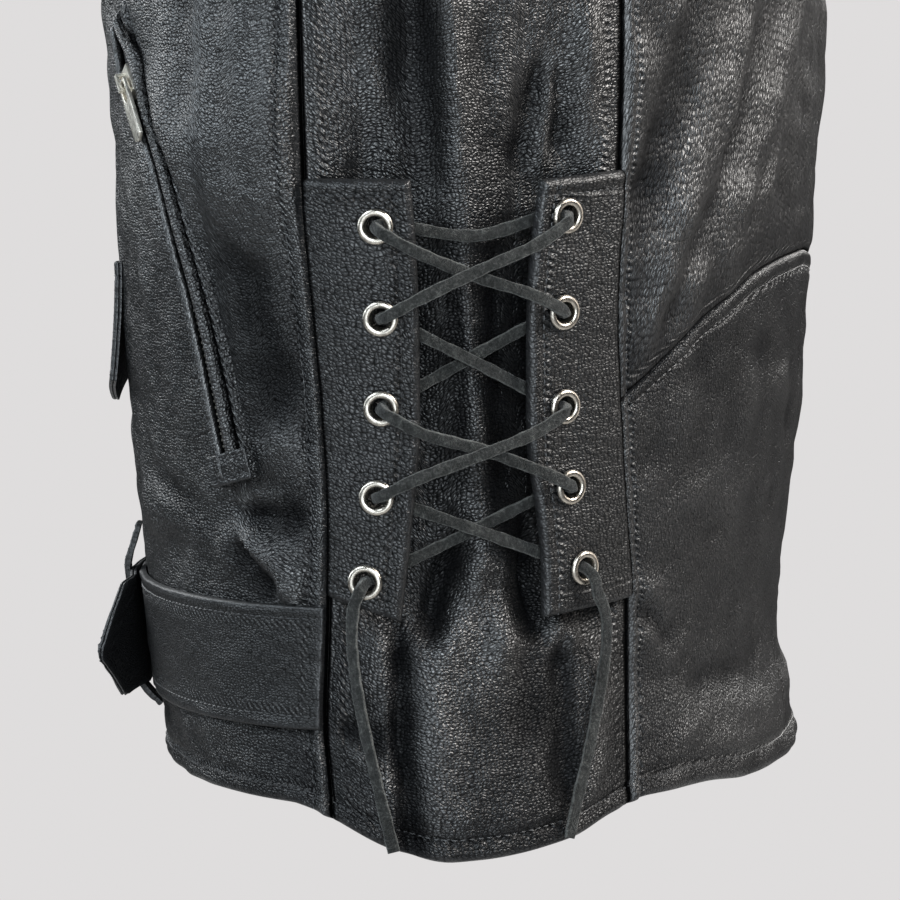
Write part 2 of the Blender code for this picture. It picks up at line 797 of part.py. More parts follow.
def waist_height(arc):
    return table_value(WAIST_SEAM, "arc", "height", arc)


def rear_arc(height):
    return side_line(height) + edge_arc(height, "rear") + SEAM_GAP / 2


def mirrored_row(row):
    """Row of places from the left edge over the centre back to the right edge."""
    return row + [(height, 2 * ring_length(height) - arc) for height, arc in reversed(row[:-1])]


def back_row(edge_height, base, top):
    """Back row that follows the waist seam at its base and turns level at its top."""
    row = []
    share = 1 - min(max((edge_height - base) / (top - base), 0.0), 1.0)
    for t in evenly(0.0, 1.0, BACK_COLUMNS):
        height = edge_height
        for _ in range(6):
            side = side_line(height)
            start = rear_arc(height)
            arc = start + t * (ring_length(height) - start)
            climb = waist_height(arc - side) - waist_height(start - side)
            height = edge_height + climb * share
        row.append((height, arc))
    return mirrored_row(row)


def upper_back_places():
    base = SEAM_ROWS[WAIST_ROW] + SEAM_GAP / 2
    rows = [base] + SEAM_ROWS[WAIST_ROW + 1:] + ARMHOLE_ROWS + SHOULDER_ROWS
    return [back_row(height, base, SEAM_ROWS[-1]) for height in rows]


def lower_back_places():
    top = SEAM_ROWS[WAIST_ROW] - SEAM_GAP / 2
    rows = SEAM_ROWS[:WAIST_ROW] + [top]
    return [back_row(height, top, 0.0) for height in rows]


def side_places():
    places = []
    for height in SEAM_ROWS + [ARMPIT]:
        front = side_line(height) + edge_arc(height, "front") + SEAM_GAP / 2
        rear = side_line(height) + edge_arc(height, "rear") - SEAM_GAP / 2
        places.append([(height, arc) for arc in evenly(front, rear, SIDE_COLUMNS)])
    return places


cloth_wall("front_left", cloth, front_places(True), LEATHER_BLACK)
cloth_wall("front_right", cloth, front_places(False), LEATHER_BLACK, mirror=True)
cloth_wall("back_upper", cloth, upper_back_places(), LEATHER_BLACK)
cloth_wall("back_lower", cloth, lower_back_places(), LEATHER_BLACK)
cloth_wall("side_left", side_cloth, side_places(), LEATHER_BLACK)
cloth_wall("side_right", side_cloth, side_places(), LEATHER_BLACK, mirror=True)

# Sleeves


def armhole_loop():
    """Armhole from the front of the armpit up to the shoulder tip, down the back and under the arm."""
    loop = [plain_point(h, side_line(h) + edge_arc(h, "front")) for h in ARMHOLE_ROWS]
    loop += [plain_point(h, side_line(h) + edge_arc(h, "rear")) for h in reversed(ARMHOLE_ROWS[:-1])]
    front = edge_arc(ARMPIT, "front")
    rear = edge_arc(ARMPIT, "rear")
    under = evenly(rear, front, SIDE_COLUMNS)[1:-1]
    return loop + [plain_point(ARMPIT, side_line(ARMPIT) + arc) for arc in under]


def sleeve_rings():
    loop = armhole_loop()
    centre = sum(loop, Vector()) / len(loop)
    away = Vector((
        math.cos(ARM_DROOP) * math.cos(ARM_FORWARD),
        -math.cos(ARM_DROOP) * math.sin(ARM_FORWARD),
        -math.sin(ARM_DROOP),
    ))
    ahead = (Vector((0, -1, 0)) - away * away.dot(Vector((0, -1, 0)))).normalized()
    above = away.cross(ahead).normalized()
    if above.z < 0:
        above = -above
    turns = [math.atan2((p - centre).dot(above), (p - centre).dot(ahead)) for p in loop]
    outer = []
    inner = []
    for row in SLEEVE_ROWS:
        middle = centre + away * row.reach + ahead * row.forward
        blend = ramp(0.0, 0.15, row.reach)
        ring = []
        thin = []
        for p, turn in zip(loop, turns):
            round_point = middle + ahead * row.half_depth * math.cos(turn)
            round_point += above * row.half_height * math.sin(turn)
            point = (p + away * (row.reach + 2 * SEAM_GAP)).lerp(round_point, blend)
            to_middle = middle - point
            ring.append(point)
            thin.append(point + LEATHER * (to_middle - away * to_middle.dot(away)).normalized())
        outer.append(ring)
        inner.append(thin)
    return outer, inner


def add_sleeves():
    outer, inner = sleeve_rings()
    count = len(outer[0])
    front_seam = 1
    rear_seam = 2 * len(ARMHOLE_ROWS) - 4
    upper = list(range(front_seam, rear_seam + 1))
    under = list(range(rear_seam, count)) + list(range(0, front_seam + 1))

    def strip(ring, picks):
        """Part of a ring, its two end points drawn in by half a seam gap."""
        points = [ring[i].copy() for i in picks]
        points[0] += (points[1] - points[0]).normalized() * SEAM_GAP * 0.7
        points[-1] += (points[-2] - points[-1]).normalized() * SEAM_GAP * 0.7
        return points

    for name, picks in (("sleeve_upper", upper), ("sleeve_under", under)):
        outside = [strip(ring, picks) for ring in outer]
        inside = [strip(ring, picks) for ring in inner]
        wall(name + "_left", outside, inside, LEATHER_BLACK)
        wall(name + "_right", outside, inside, LEATHER_BLACK, mirror=True)


add_sleeves()

# Lacing flaps and eyelets


def flap_level(height, near, front):
    """Lift of a flap's inner face over the plain body."""
    seam = edge_arc(height, "front" if front else "rear")
    edge = table_value(FLAP_ROWS, "height", "front_edge" if front else "rear_edge", height)
    t = (near - seam) / (edge - seam)
    return FLAP_LIFT + FLAP_RISE * min(max(t, 0.0), 1.0)


def flap_point(height, near, front, depth):
    """Point of a flap: depth 0 is its inner face, 1 its outer face."""
    lift = flap_level(height, near, front) + depth * FLAP_THICK
    return skin(height, side_line(height) + near, lift)


def flap_height(height, t, front):
    """Height of a flap's row at a share from its seam: the flap's ends rise toward the seam."""
    slope = FRONT_SLOPE if front else REAR_SLOPE
    up = (height - FLAP_ROWS[0].height) / (FLAP_ROWS[-1].height - FLAP_ROWS[0].height)
    return height + (1 - t) * (slope.low + up * (slope.high - slope.low))


def add_flap(name, front, mirror):
    seam_column = "front" if front else "rear"
    edge_column = "front_edge" if front else "rear_edge"
    inner = []
    outer = []
    for row in FLAP_ROWS:
        low = []
        high = []
        for t in evenly(0.0, 1.0, 5):
            height = flap_height(row.height, t, front)
            seam = edge_arc(height, seam_column) + (0.0004 if front else -0.0004)
            near = seam + t * (getattr(row, edge_column) - seam)
            low.append(flap_point(height, near, front, 0))
            high.append(flap_point(height, near, front, 1))
        inner.append(low)
        outer.append(high)
    return wall(name, outer, inner, STRAP_BLACK, mirror)


def eyelet_frame(place, front):
    """Middle of the flap at an eyelet, with the flap's normal."""

    def middle(up, along):
        return flap_point(place.height + up, place.arc + along, front, 0.5)

    step = 0.003
    across = middle(0, step) - middle(0, -step)
    upward = middle(step, 0) - middle(-step, 0)
    return middle(0, 0), across.cross(upward).normalized()


EYELETS = {f"F{i + 1}": eyelet_frame(place, True) for i, place in enumerate(FRONT_EYELETS)}
EYELETS.update({f"R{i + 1}": eyelet_frame(place, False) for i, place in enumerate(REAR_EYELETS)})


def add_lacing_side(side, mirror):
    for word, front, letter in (("front", True, "F"), ("rear", False, "R")):
        flap = add_flap(f"flap_{word}_{side}", front, mirror)
        for number in range(1, 6):
            centre, axis = EYELETS[f"{letter}{number}"]
            through = [centre - 2 * FLAP_THICK * axis, centre + 2 * FLAP_THICK * axis]
            hole = tube("hole", through, EYELET_HOLE, NICKEL, mirror, sides=EYELET_SIDES)
            combine(flap, hole, "DIFFERENCE")
            name = f"eyelet_{word}_{number}_{side}"
            turned(name, EYELET_PROFILE, centre, axis, EYELET_SIDES, NICKEL, mirror)


# Laces


def bend(key, toward, table):
    """Points from an eyelet's hole round to a stretch that leaves toward another eyelet."""
    centre, axis = EYELETS[key]
    heading = EYELETS[toward][0] - centre
    heading = (heading - axis * heading.dot(axis)).normalized()
    return [centre + heading * step.along + axis * step.out for step in table]


def eyelet_place(key):
    return (FRONT_EYELETS if key[0] == "F" else REAR_EYELETS)[int(key[1]) - 1]


def lace_path():
    path = []
    for stretch in LACE_ROUTE:
        table = FRONT_BEND if stretch.face > 0 else BACK_BEND
        path += bend(stretch.start, stretch.end, table)
        start = eyelet_place(stretch.start)
        end = eyelet_place(stretch.end)
        height = (start.height + end.height) / 2
        arc = (start.arc + end.arc) / 2
        path.append(skin(height - stretch.sag, side_line(height) + arc, stretch.level))
        path += list(reversed(bend(stretch.end, stretch.start, table)))
    first, first_axis = EYELETS[LACE_ROUTE[0].start]
    last, last_axis = EYELETS[LACE_ROUTE[-1].end]
    return [first + first_axis * LACE_PART] + path + [last + last_axis * LACE_PART]


def curve_through(points, steps):
    """Smooth path through points."""
    path = []
    count = len(points)
    for i in range(count - 1):
        p0 = points[max(i - 1, 0)]
        p1 = points[i]
        p2 = points[i + 1]
        p3 = points[min(i + 2, count - 1)]
        for k in range(steps):
            t = k / steps
            bow = 2 * p0 - 5 * p1 + 4 * p2 - p3
            twist = 3 * p1 - p0 - 3 * p2 + p3
            path.append(p1 + 0.5 * ((p2 - p0) * t + bow * t * t + twist * t ** 3))
    path.append(points[-1])
    return path


def hanging_end(key, route):
    """Free end: out of the eyelet, over the flap and down the side panel."""
    centre, axis = EYELETS[key]
    down = []
    for place in route:
        arc = side_line(place.height) + place.arc
        rise = place.out
        if place.height < END_ON_CLOTH:
            front = edge_arc(place.height, "front")
            across = (place.arc - front) / (edge_arc(place.height, "rear") - front)
            rise += side_rise(place.height, min(max(across, 0.0), 1.0))
        down.append(skin(place.height, arc, rise))
    heading = down[0] - centre
    heading = (heading - axis * heading.dot(axis)).normalized()
    start = [centre + axis * LACE_END_PART]
    start += [centre + heading * step.along + axis * step.out for step in FRONT_BEND[:4]]
    return start + curve_through([start[-1]] + down, 2)[1:]


def add_laces(side, mirror):
    tube(f"lace_{side}", lace_path(), LACE_RADIUS, LACE_GREY, mirror)
    tube(f"lace_end_front_{side}", hanging_end("F5", FRONT_END), LACE_RADIUS, LACE_GREY, mirror)
    tube(f"lace_end_rear_{side}", hanging_end("R5", REAR_END), LACE_RADIUS, LACE_GREY, mirror)


for side_name, is_mirror in (("left", False), ("right", True)):
    add_lacing_side(side_name, is_mirror)
    add_laces(side_name, is_mirror)

# Belt


def over_front(height, arc, out):
    """Point over the front, moved out from its cloth; what lies there bridges the troughs of folds."""
    return skin(height, arc, max(fold_rise(height, side_arc(height, arc)), 0.0) + out)


def chest_point(height, x, out):
    """Point over the front at a place x across the chest."""
    return over_front(height, arc_at_x(height, x), out)


BELT_ROWS = evenly(BELT_LOW, BELT_HIGH, 4)
BELT_MIDDLE = (BELT_LOW + BELT_HIGH) / 2


def strap(name, stations, material):
    """Strap from stations that give the inner and outer points of its rows."""
    outer = [[station[r][1] for station in stations] for r in range(4)]
    inner = [[station[r][0] for station in stations] for r in range(4)]
    return wall(name, outer, inner, material)


def seam_start(height):
    return side_line(height) + edge_arc(height, "front") - 0.0005


def buckle_places():
    """Middles of the heel bar and the front bar, and the way up along the cloth there."""
    heel = chest_point(BELT_MIDDLE, HEEL_BAR, HEEL_LEVEL)
    front = chest_point(BELT_MIDDLE, FRONT_BAR, FRONT_LEVEL)
    up = chest_point(BELT_HIGH, HEEL_BAR, 0.0) - chest_point(BELT_LOW, HEEL_BAR, 0.0)
    return heel, front, up.normalized()


def sleeve_profile(radius, half):
    """Ring that turns on the heel bar."""
    return [(BAR_HOLE, -half), (radius, -half), (radius, half), (BAR_HOLE, half)]


def add_left_belt():
    """Left half: from its side seam along the front, its end rolled round the buckle's heel bar."""
    stations = []
    for t in evenly(0.0, 1.0, 18):
        station = []
        for height in BELT_ROWS:
            start = seam_start(height)
            end = arc_at_x(height, HEEL_BAR + 0.0024)
            arc = start + t * (end - start)
            low = over_front(height, arc, BELT_LIFT)
            station.append((low, over_front(height, arc, BELT_LIFT + BELT_THICK)))
        stations.append(station)
    belt = strap("belt_left", stations, STRAP_BLACK)
    heel, _, up = buckle_places()
    for shift in (-ROLL_SHIFT, ROLL_SHIFT):
        roll = turned("roll", sleeve_profile(0.0042, ROLL_HALF), heel + up * shift, up, 10, STRAP_BLACK)
        combine(belt, roll, "UNION")
    frame = Frame(heel, Vector((1, 0, 0)), up, up.cross(Vector((1, 0, 0))))
    room = PRONG_HALF + 0.001
    notch = block("notch", frame, (-0.006, -room, -0.006), (0.006, room, 0.006), STRAP_BLACK)
    combine(belt, notch, "DIFFERENCE")


def add_right_belt():
    """Right half: from its side seam through the buckle, over the left half to a free pointed tip."""
    stations = []
    for t in evenly(0.0, 1.0, 11):
        station = []
        for height in BELT_ROWS:
            start = -seam_start(height)
            arc = start + t * (arc_at_x(height, -0.078) - start)
            low = over_front(height, arc, BELT_LIFT)
            station.append((low, over_front(height, arc, BELT_LIFT + BELT_THICK)))
        stations.append(station)
    for row in STRAP_OVER:
        stations.append([
            (chest_point(h, row.x, row.lift), chest_point(h, row.x, row.lift + BELT_THICK)) for h in BELT_ROWS
        ])
    for row in BELT_TIP:
        outward = Vector((-0.18, -0.98, 0)) * BELT_THICK
        station = []
        for height in evenly(row.bottom, row.top, 4):
            point = Vector((row.x, row.y, height - HELD_HEIGHT))
            station.append((point, point + outward))
        stations.append(station)
    belt = strap("belt_right", stations, STRAP_BLACK)
    origin = chest_point(BELT_MIDDLE, HEEL_BAR - 0.010, 0.0)
    slot = Frame(origin, Vector((1, 0, 0)), Vector((0, 0, 1)), Vector((0, -1, 0)))
    cutter = block("slot", slot, (-0.011, -0.0032, 0.0), (0.0095, 0.0032, 0.025), STRAP_BLACK)
    combine(belt, cutter, "DIFFERENCE")


def add_buckle():
    """Frame of round bar with a heel bar inside the belt's rolled end, and the prong over the front bar."""
    heel, front, up = buckle_places()
    along = front - heel
    loop = [heel + along * row.share + up * (BUCKLE_HALF - row.drop) for row in BUCKLE_SIDE]
    loop += [heel + along * row.share - up * (BUCKLE_HALF - row.drop) for row in reversed(BUCKLE_SIDE)]
    tube("buckle_frame", loop, BUCKLE_BAR, NICKEL, sides=8, closed=True)
    prong = turned("buckle_prong", sleeve_profile(0.0041, PRONG_HALF), heel, up, 10, NICKEL)
    out = Vector((0, -1, 0))
    rod = [
        heel + out * 0.0034 - Vector((0.0010, 0, 0)),
        heel + out * 0.0050 - Vector((0.0060, 0, 0)),
        heel + along * 0.5 + out * 0.0058,
        front + out * 0.0044,
        front + out * 0.0034 - Vector((0.0045, 0, 0)),
    ]
    combine(prong, tube("rod", rod, PRONG_BAR, NICKEL), "UNION")


def add_belt_loop(name, clear, mirror):
    """Strip sewn down above and below the belt."""
    inner = []
    outer = []
    for row in LOOP_ROWS:
        lift = TRIM_LIFT + row.lift * clear
        places = evenly(LOOP_X - LOOP_HALF, LOOP_X + LOOP_HALF, 3)
        inner.append([chest_point(row.height, place, lift) for place in places])
        outer.append([chest_point(row.height, place, lift + LEATHER) for place in places])
    wall(name, outer, inner, STRAP_BLACK, mirror)


add_left_belt()
add_right_belt()
add_buckle()
add_belt_loop("belt_loop_left", 0.0068, False)
add_belt_loop("belt_loop_right", 0.0034, True)

# Zips


def pocket_place(t):
    """Middle of the pocket zip at a share of its length, as (height, arc)."""
    height = POCKET_LINE[0].height + t * (POCKET_LINE[-1].height - POCKET_LINE[0].height)
    return height, table_value(POCKET_LINE, "height", "arc", height)


def pocket_point(t, across, out):
    """Point beside the pocket zip, across + toward the back."""
    h0, a0 = pocket_place(t - 0.01)
    h1, a1 = pocket_place(t + 0.01)
    length = math.hypot(h1 - h0, a1 - a0)
    height, near = pocket_place(t)
    height -= across * (a1 - a0) / length
    near += across * (h1 - h0) / length
    return over_front(height, side_line(height) + near, out)


def pocket_frame(t, out):
    origin = pocket_point(t, 0.0, out)
    along = (pocket_point(t + 0.03, 0.0, out) - pocket_point(t - 0.03, 0.0, out)).normalized()
    across = (pocket_point(t, 0.004, out) - pocket_point(t, -0.004, out)).normalized()
    normal = across.cross(along).normalized()
    across = along.cross(normal).normalized()
    return Frame(origin, across, along, normal)


def slot_half(t):
    """Half width of the pocket's opening: the lips part round the slider."""
    return SLOT_HALF + SLOT_PARTED * ramp(0.72, 0.82, t)


def add_pocket(side, mirror):
    """Welt round a slanted slot, the closed zip in it and its slider."""

    def outline(out):
        ends = evenly(-POCKET_END, 1 + POCKET_END, POCKET_STATIONS)
        there = [pocket_point(t, WELT_HALF, out) for t in ends]
        return there + [pocket_point(t, -WELT_HALF, out) for t in reversed(ends)]

    def slot(out):
        ends = evenly(0.0, 1.0, POCKET_STATIONS)
        there = [pocket_point(t, slot_half(t), out) for t in ends]
        return there + [pocket_point(t, -slot_half(t), out) for t in reversed(ends)]

    top = TRIM_LIFT + WELT_THICK
    loops = (outline(top), slot(top), outline(TRIM_LIFT), slot(TRIM_LIFT))
    band(f"pocket_welt_{side}", *loops, LEATHER_BLACK, mirror)
    rows = evenly(0.01, 0.99, POCKET_STATIONS)
    sides = (-CHAIN_HALF, CHAIN_HALF)
    low = [[pocket_point(t, x, TRIM_LIFT - 0.0003) for x in sides] for t in rows]
    high = [[pocket_point(t, x, TRIM_LIFT + 0.0007) for x in sides] for t in rows]
    zipper = wall(f"pocket_zip_{side}", high, low, ZIP_METAL, mirror)
    add_slider(zipper, f"pocket_pull_{side}", pocket_frame(SLIDER_STATION, TRIM_LIFT), mirror)


def add_slider(zipper, pull_name, frame, mirror):
    """Slider with a bridge joined to its zip, and the pull tab hung under the bridge's bar."""
    for box in [SLIDER_BODY] + SLIDER_BRIDGE:
        combine(zipper, block("slider", frame, box.low, box.high, ZIP_METAL, mirror), "UNION")

    def edge(out):
        centre = frame.origin + out * frame.out
        return [centre + p.across * frame.across + p.along * frame.along for p in PULL_TAB]

    def eye(out):
        centre = frame.origin + out * frame.out
        return [centre + p.eye_across * frame.across + p.eye_along * frame.along for p in PULL_TAB]

    high = PULL_LEVEL + PULL_THICK / 2
    low = PULL_LEVEL - PULL_THICK / 2
    pull = band(pull_name, edge(high), eye(high), edge(low), eye(low), ZIP_METAL, mirror)
    hinge = frame.origin + PULL_LEVEL * frame.out
    move_origin(pull, Vector((-hinge.x if mirror else hinge.x, hinge.y, hinge.z)))


def move_origin(made, place):
    """Put an object's origin at a place and leave its shape where it is."""
    made.data.transform(Matrix.Translation(-place))
    made.location = place


def front_slider_frame():
    """Frame of the front zip's slider near the top of the zip."""
    height = ZIP_TOP - 0.016
    origin = chest_point(height, zip_x(height), 0.0)
    along = (chest_point(height + 0.01, zip_x(height + 0.01), 0.0) - origin).normalized()
    across = (chest_point(height, zip_x(height) + 0.01, 0.0) - origin).normalized()
    out = across.cross(along).normalized()
    return Frame(origin + out * TRIM_LIFT, along.cross(out).normalized(), along, out)


def add_front_zip():
    """Closed front zip between the two fronts, up to the open neckline."""
    rows = [0.002] + SEAM_ROWS[1:-1] + [ZIP_TOP - 0.001]
    low = []
    top = []
    for height in rows:
        arcs = [arc_at_x(height, zip_x(height) + shift) for shift in (-ZIP_HALF, 0.0, ZIP_HALF)]
        low.append([on_cloth(height, arc, -0.0018) for arc in arcs])
        top.append([on_cloth(height, arc, -0.0004) for arc in arcs])
    zipper = wall("front_zip", top, low, ZIP_METAL)
    frame = front_slider_frame()
    combine(zipper, block("neck", frame, SLIDER_NECK.low, SLIDER_NECK.high, ZIP_METAL), "UNION")
    add_slider(zipper, "front_pull", frame, False)


add_pocket("left", False)
add_pocket("right", True)
add_front_zip()

# Coin pocket flap


def add_coin_flap():
    """Flap sewn down along its top, standing away at its lower edge."""
    inner = []
    outer = []
    for t in evenly(0.0, 1.0, 5):
        low = []
        high = []
        for x in evenly(COIN_START, COIN_END, 7):
            share = abs(2 * x - COIN_START - COIN_END) / (COIN_END - COIN_START)
            height = COIN_TOP - t * (COIN_DROP + COIN_POINT * (1 - share))
            lift = TRIM_LIFT + COIN_STAND * t ** 1.5
            low.append(chest_point(height, x, lift))
            high.append(chest_point(height, x, lift + COIN_THICK))
        inner.append(low)
        outer.append(high)
    wall("coin_flap", outer, inner, LEATHER_BLACK)


add_coin_flap()

# Lapels and collar


def add_lapel(name, rows, mirror):
    """Turned-back front edge lying on the chest."""
    inner = []
    outer = []
    for row in rows:
        low = []
        high = []
        for t in evenly(0.0, 1.0, 6):
            x = row.fold_x + t * (row.edge_x - row.fold_x)
            height = row.fold_height + t * (row.edge_height - row.fold_height)
            lift = LAPEL_LIFT + LAPEL_ROLL * math.sin(math.pi * min(t, 0.5)) * (1 - t)
            low.append(chest_point(height, x, lift))
            high.append(chest_point(height, x, lift + LEATHER))
        inner.append(low)
        outer.append(high)
    wall(name, outer, inner, LEATHER_BLACK, mirror)


def collar_base(degrees):
    """Neckline point and outward direction; 0 degrees is the centre back."""
    turn = math.radians(abs(degrees))
    full = ring_length(NECK_HEIGHT)
    middle = side_line(NECK_HEIGHT)
    place = full - (full - middle) * min(turn / (math.pi / 2), 1.0)
    if turn > math.pi / 2:
        end = arc_at_x(NECK_HEIGHT, NECK_HALF)
        place = middle - (middle - end) * (abs(degrees) - 90) / (COLLAR_END - 90)
    sign = 1 if degrees >= 0 else -1
    point = plain_point(NECK_HEIGHT, sign * place)
    normal = surface_normal(plain_point, NECK_HEIGHT - 0.003, sign * place)
    normal.z = 0
    return point, normal.normalized()


def add_collar():
    """Fold-down collar round the neck from one front edge to the other."""
    outer = []
    inner = []
    crest = COLLAR_STAND[-1]
    for degrees in evenly(-COLLAR_END, COLLAR_END, COLLAR_COLUMNS):
        base, out = collar_base(degrees)
        slope = math.radians(table_value(COLLAR_SLOPES, "turn", "slope", abs(degrees)))
        profile = list(COLLAR_STAND)
        for t in evenly(0.0, 1.0, 4)[1:]:
            length = COLLAR_FALL * t
            profile.append((crest.outward + length * math.cos(slope), crest.up - length * math.sin(slope)))
        points = [base + out * across + Vector((0, 0, up)) for across, up in profile]
        shell = []
        for i, point in enumerate(points):
            run = points[min(i + 1, len(points) - 1)] - points[max(i - 1, 0)]
            run = Vector((run.dot(out), run.z))
            shell.append(point + LEATHER * (out * run.y - Vector((0, 0, 1)) * run.x) / run.length)
        outer.append(points)
        inner.append(shell)
    wall("collar", outer, inner, LEATHER_BLACK)


add_lapel("lapel_left", LEFT_LAPEL, False)
add_lapel("lapel_right", RIGHT_LAPEL, True)
add_collar()
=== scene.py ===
"""Looks of the leather motorcycle jacket: fine shells, lacing, zips, stitching, materials, light and camera.

Frame as in the CAD: +Z up, the wearer faces -Y and the wearer's left is +X. Heights run up from the hem
and arcs along the cloth; "near" is an arc from the side line, + to the back. Sizes are in metres.
"""

import math

import bmesh
import bpy
import numpy as np
from mathutils import Matrix, Vector


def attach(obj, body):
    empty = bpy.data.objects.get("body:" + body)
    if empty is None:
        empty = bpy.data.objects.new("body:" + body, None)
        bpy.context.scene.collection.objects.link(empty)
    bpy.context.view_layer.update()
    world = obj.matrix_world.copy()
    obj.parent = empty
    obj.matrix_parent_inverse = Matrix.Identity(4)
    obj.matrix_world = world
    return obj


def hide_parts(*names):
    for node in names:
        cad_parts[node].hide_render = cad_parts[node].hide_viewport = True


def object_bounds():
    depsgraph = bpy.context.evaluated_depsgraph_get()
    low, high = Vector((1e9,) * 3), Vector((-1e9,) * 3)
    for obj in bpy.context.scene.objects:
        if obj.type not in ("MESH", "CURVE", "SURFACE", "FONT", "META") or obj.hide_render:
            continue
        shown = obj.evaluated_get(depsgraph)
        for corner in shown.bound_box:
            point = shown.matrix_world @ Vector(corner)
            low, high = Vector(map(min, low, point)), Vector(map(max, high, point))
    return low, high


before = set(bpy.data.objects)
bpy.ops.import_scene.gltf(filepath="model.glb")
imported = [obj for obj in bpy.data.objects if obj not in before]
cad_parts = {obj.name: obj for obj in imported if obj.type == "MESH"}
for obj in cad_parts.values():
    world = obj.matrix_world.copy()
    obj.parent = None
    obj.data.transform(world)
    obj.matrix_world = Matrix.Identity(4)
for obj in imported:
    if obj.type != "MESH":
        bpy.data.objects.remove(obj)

CAD_LOW, CAD_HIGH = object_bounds()


def link(name, data):
    """New object in the scene."""
    made = bpy.data.objects.new(name, data)
    bpy.context.scene.collection.objects.link(made)
    return made


def point_at(thing, place, toward):
    """Put a camera or a light at a place, looking one way."""
    thing.location = place
    thing.rotation_euler = toward.to_track_quat("-Z", "Y").to_euler()


# Camera: the photo's framing of the wearer's left side

IMAGE_SIZE = 900
FOCAL_PIXELS = 3214
SENSOR = 36.0
CAMERA_TURN = math.radians(12)
CAMERA_RISE = math.radians(4)
CAMERA_AWAY = 1.34988
AIM_HEIGHT = -0.47866
AIM_SHIFT = 0.00588


def add_camera():
    data = bpy.data.cameras.new("camera")
    data.sensor_width = SENSOR
    data.lens = SENSOR * FOCAL_PIXELS / IMAGE_SIZE
    cosine, sine, level = math.cos(CAMERA_TURN), math.sin(CAMERA_TURN), math.cos(CAMERA_RISE)
    toward = Vector((cosine * level, sine * level, math.sin(CAMERA_RISE)))
    aim = Vector((0, 0, AIM_HEIGHT)) - Vector((-sine, cosine, 0)) * AIM_SHIFT
    bpy.context.scene.camera = link("camera", data)
    point_at(bpy.context.scene.camera, aim + toward * CAMERA_AWAY, -toward)


add_camera()

# Driving sizes, as in the CAD

HELD_HEIGHT = 0.605
LEATHER = 0.0022
SEAM_GAP = 0.0003
NECK_HEIGHT = 0.628
NECK_HALF = 0.070
ARMPIT = 0.395
SHOULDER = 0.583
WAIST = 0.1555
ZIP_TOP = 0.355
ZIP_HALF = 0.0045
ZIP_FOOT_X = -0.020
ZIP_LEAN = -0.052
FLAP_THICK = 0.0030
FLAP_LIFT = 0.0010
FLAP_RISE = 0.0030
BELT_LOW = 0.0395
BELT_HIGH = 0.0845
BELT_MIDDLE = (BELT_LOW + BELT_HIGH) / 2
BELT_THICK = 0.0026
BELT_LIFT = 0.0008
TRIM_LIFT = 0.0008
PLAIN_COLUMNS = {"squareness", "lean", "share", "turn", "slope"}


def table(columns, *rows):
    """Named columns from rows of numbers; lengths are given in millimetres and kept in metres."""
    named = zip(columns.split(), np.array(rows, float).T)
    return {name: values if name in PLAIN_COLUMNS else values / 1000 for name, values in named}


BODY = table(
    "height half_width front back squareness",
    (-20, 216, 110, 139, 2.00),
    (0, 215, 111, 138, 2.00),
    (55, 208, 117.8, 130, 2.03),
    (130, 212, 126.2, 137, 2.06),
    (231, 225, 130, 143.5, 2.10),
    (315, 236, 134.5, 145.5, 2.14),
    (395, 240, 137, 146.5, 2.25),
    (470, 233, 130, 142, 2.40),
    (540, 218, 108, 128, 2.40),
    (583, 200, 83, 105, 2.30),
    (610, 145, 68, 84, 2.20),
    (628, 90, 58, 68, 2.00),
)
PANEL_EDGES = table(
    "height front rear",
    (-20, -4, 117), (0, -4, 117), (43, -7.9, 116), (85, -6.3, 114.7), (120, -5.3, 110.2), (157, -6.4, 107),
    (194, -8.7, 106.3), (236, -10.5, 110), (300, -10, 113), (350, -17, 105), (395, -32, 85), (420, -72, 96),
    (450, -97, 106), (480, -106, 112), (510, -103, 108), (540, -80, 90), (565, -54, 66), (576, -32, 40),
    (583, 0, 0),
)
HEM_LINE = table(
    "arc height",
    (-300, 15), (-90, 13.9), (-21, 13.4), (-5, 8.9), (18, -1.5), (40, -6.6), (56, -5.8), (87, -1.2),
    (107, 5), (130, 9), (165, 8.8), (210, 5), (300, 3),
)
HEM_FADE = 0.06
WAIST_SEAM = table(
    "arc height",
    (107, 155.5), (120.5, 163), (136.5, 172.5), (158.5, 185), (180, 193.5), (209.5, 203), (253, 209),
    (289, 211),
)
FOLDS = table(
    "arc0 height0 arc1 height1 half_width rise",
    (136.8, 211.8, 198.5, 305, 14, 4),
    (175.8, 211.6, 254.7, 308, 13, 3.5),
    (126.8, 236.1, 154.7, 299.4, 10, -3.5),
    (160.4, 215, 212.1, 305.7, 10, -3),
    (155, 25.6, 270, 28.5, 10, 2),
    (-38, 290, -40, 235, 24, 3.5),
    (-119, 115.8, -35, 102, 10, 3),
    (-90, 100, -30, 118, 12, -2.5),
)

# Creases finer than the solids: the two ends, half width, rise, bow to one side and lean of the profile

